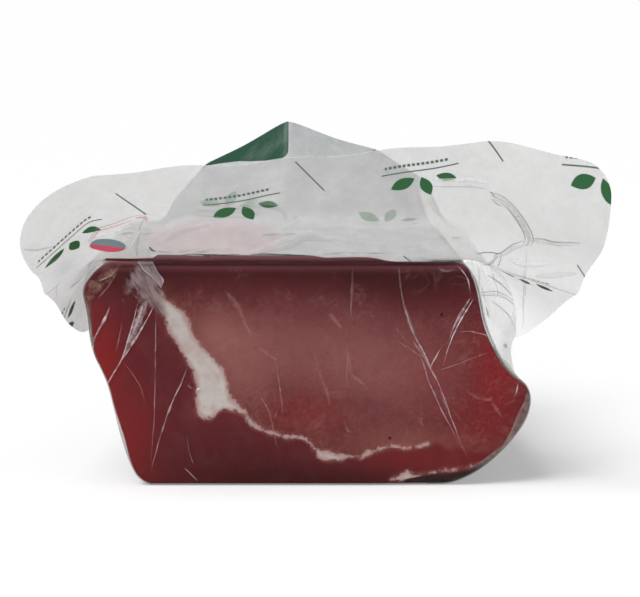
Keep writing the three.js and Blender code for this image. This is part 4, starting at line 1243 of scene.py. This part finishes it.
CREASED = (on_lid, LID_CREASES), (on_right_web, WEB_CREASES), (on_left_web, LEFT_WEB_CREASES)
skins, tones_and_painted_light, covers = [], [], []
for surface, creases in CREASED:
    for colour, cover, half_width, corners in creases:
        path = smooth_path(corners, 10 + 8 * len(corners))
        middle = surface(path[:, 0], path[:, 1]) + TOWARDS_EYE * FOLD_STANDOFF
        skins.append(skin_over(ridge(middle, half_width, FOLD_HEIGHT)))
        tones_and_painted_light.append(np.tile(tint(*colour)[:3], (len(skins[-1][0]), 1)))
        covers.append(np.full(len(skins[-1][0]), cover))
points, quads, caps = joined(skins)

fold = Finish(bpy.data.materials.new("folded_film"))
glint = fold.noise(fold.place(), 0.8, 3, 0.6)
cover = (fold.attribute("cover") * (0.5 + glint)).part()
thin_film(fold, cover, fold.attribute("tone_and_painted_light", "Vector"), 0.25, 0.6, fold.bump(glint, 0.3, 0.3))
lid_folds = add_piece("lid_folds", points, [quads, caps], fold.owner,
                      {"tone_and_painted_light": np.concatenate(tones_and_painted_light), "cover": np.concatenate(covers)})

# The milky pleat hangs from the lid's front edge over the face. Its two edges, x and z, meet in a
# point, and it stands off the face in a low arch.
PLEAT_LEFT = [(-43.8, 60.0), (-43.2, 57.4), (-41.6, 54.9), (-39.4, 53.1), (-37.3, 50.5)]
PLEAT_RIGHT = [(-40.3, 60.0), (-39.4, 57.2), (-38.1, 54.6), (-36.8, 52.4), (-37.1, 50.4)]
PLEAT_ARCH = 1.0
PLEAT_FLATTENS = 0.6  # how much of the arch is gone at the low end
PLEAT_STANDOFF = 0.25
PLEAT_BACK = FRONT_Y + 0.5  # no part of its middle surface lies behind this
PLEAT_THICKNESS = 0.15
PLEAT_CELLS = 16, 50  # points across it and down it

side, down = np.meshgrid(*(np.linspace(0, 1, count) for count in PLEAT_CELLS))
left_path, right_path = (smooth_path(edge, PLEAT_CELLS[1]) for edge in (PLEAT_LEFT, PLEAT_RIGHT))
flat_sheet = left_path[:, None] + (right_path - left_path)[:, None] * side[..., None]
sheet = on_face(flat_sheet[..., 0], flat_sheet[..., 1])
arch = PLEAT_ARCH * np.sin(np.pi * side) * (1 - PLEAT_FLATTENS * down)
sheet[..., 1] = np.minimum(sheet[..., 1], PLEAT_BACK) - PLEAT_STANDOFF - arch
sheet[..., 1] += 0.15 * cloud(sheet, (1.2, 4, 2.5), 31)
pleat_points, pleat_faces = sheet_solid(sheet, PLEAT_THICKNESS)

milky_pleat = Finish(bpy.data.materials.new("milky_pleat_film"))
streak = milky_pleat.noise(milky_pleat.place((1, 1, 0.4), (0, 0.6, 0)), 0.7, 3, 0.6)
near_edge = (milky_pleat.attribute("side") - 0.5).absolute().step(0.3, 0.5)
cover = (0.2 + streak * 0.46 + near_edge * 0.6).part()
streak_tone = milky_pleat.blend(streak, tint(204, 180, 184), tint(236, 220, 222))
thin_film(milky_pleat, cover, streak_tone, 0.25, 0.6, milky_pleat.bump(streak, 0.5, 0.5))
hanging_pleat = add_piece("hanging_pleat", pleat_points, [pleat_faces], milky_pleat.owner,
                          {"side": np.tile(side.ravel(), 2)})
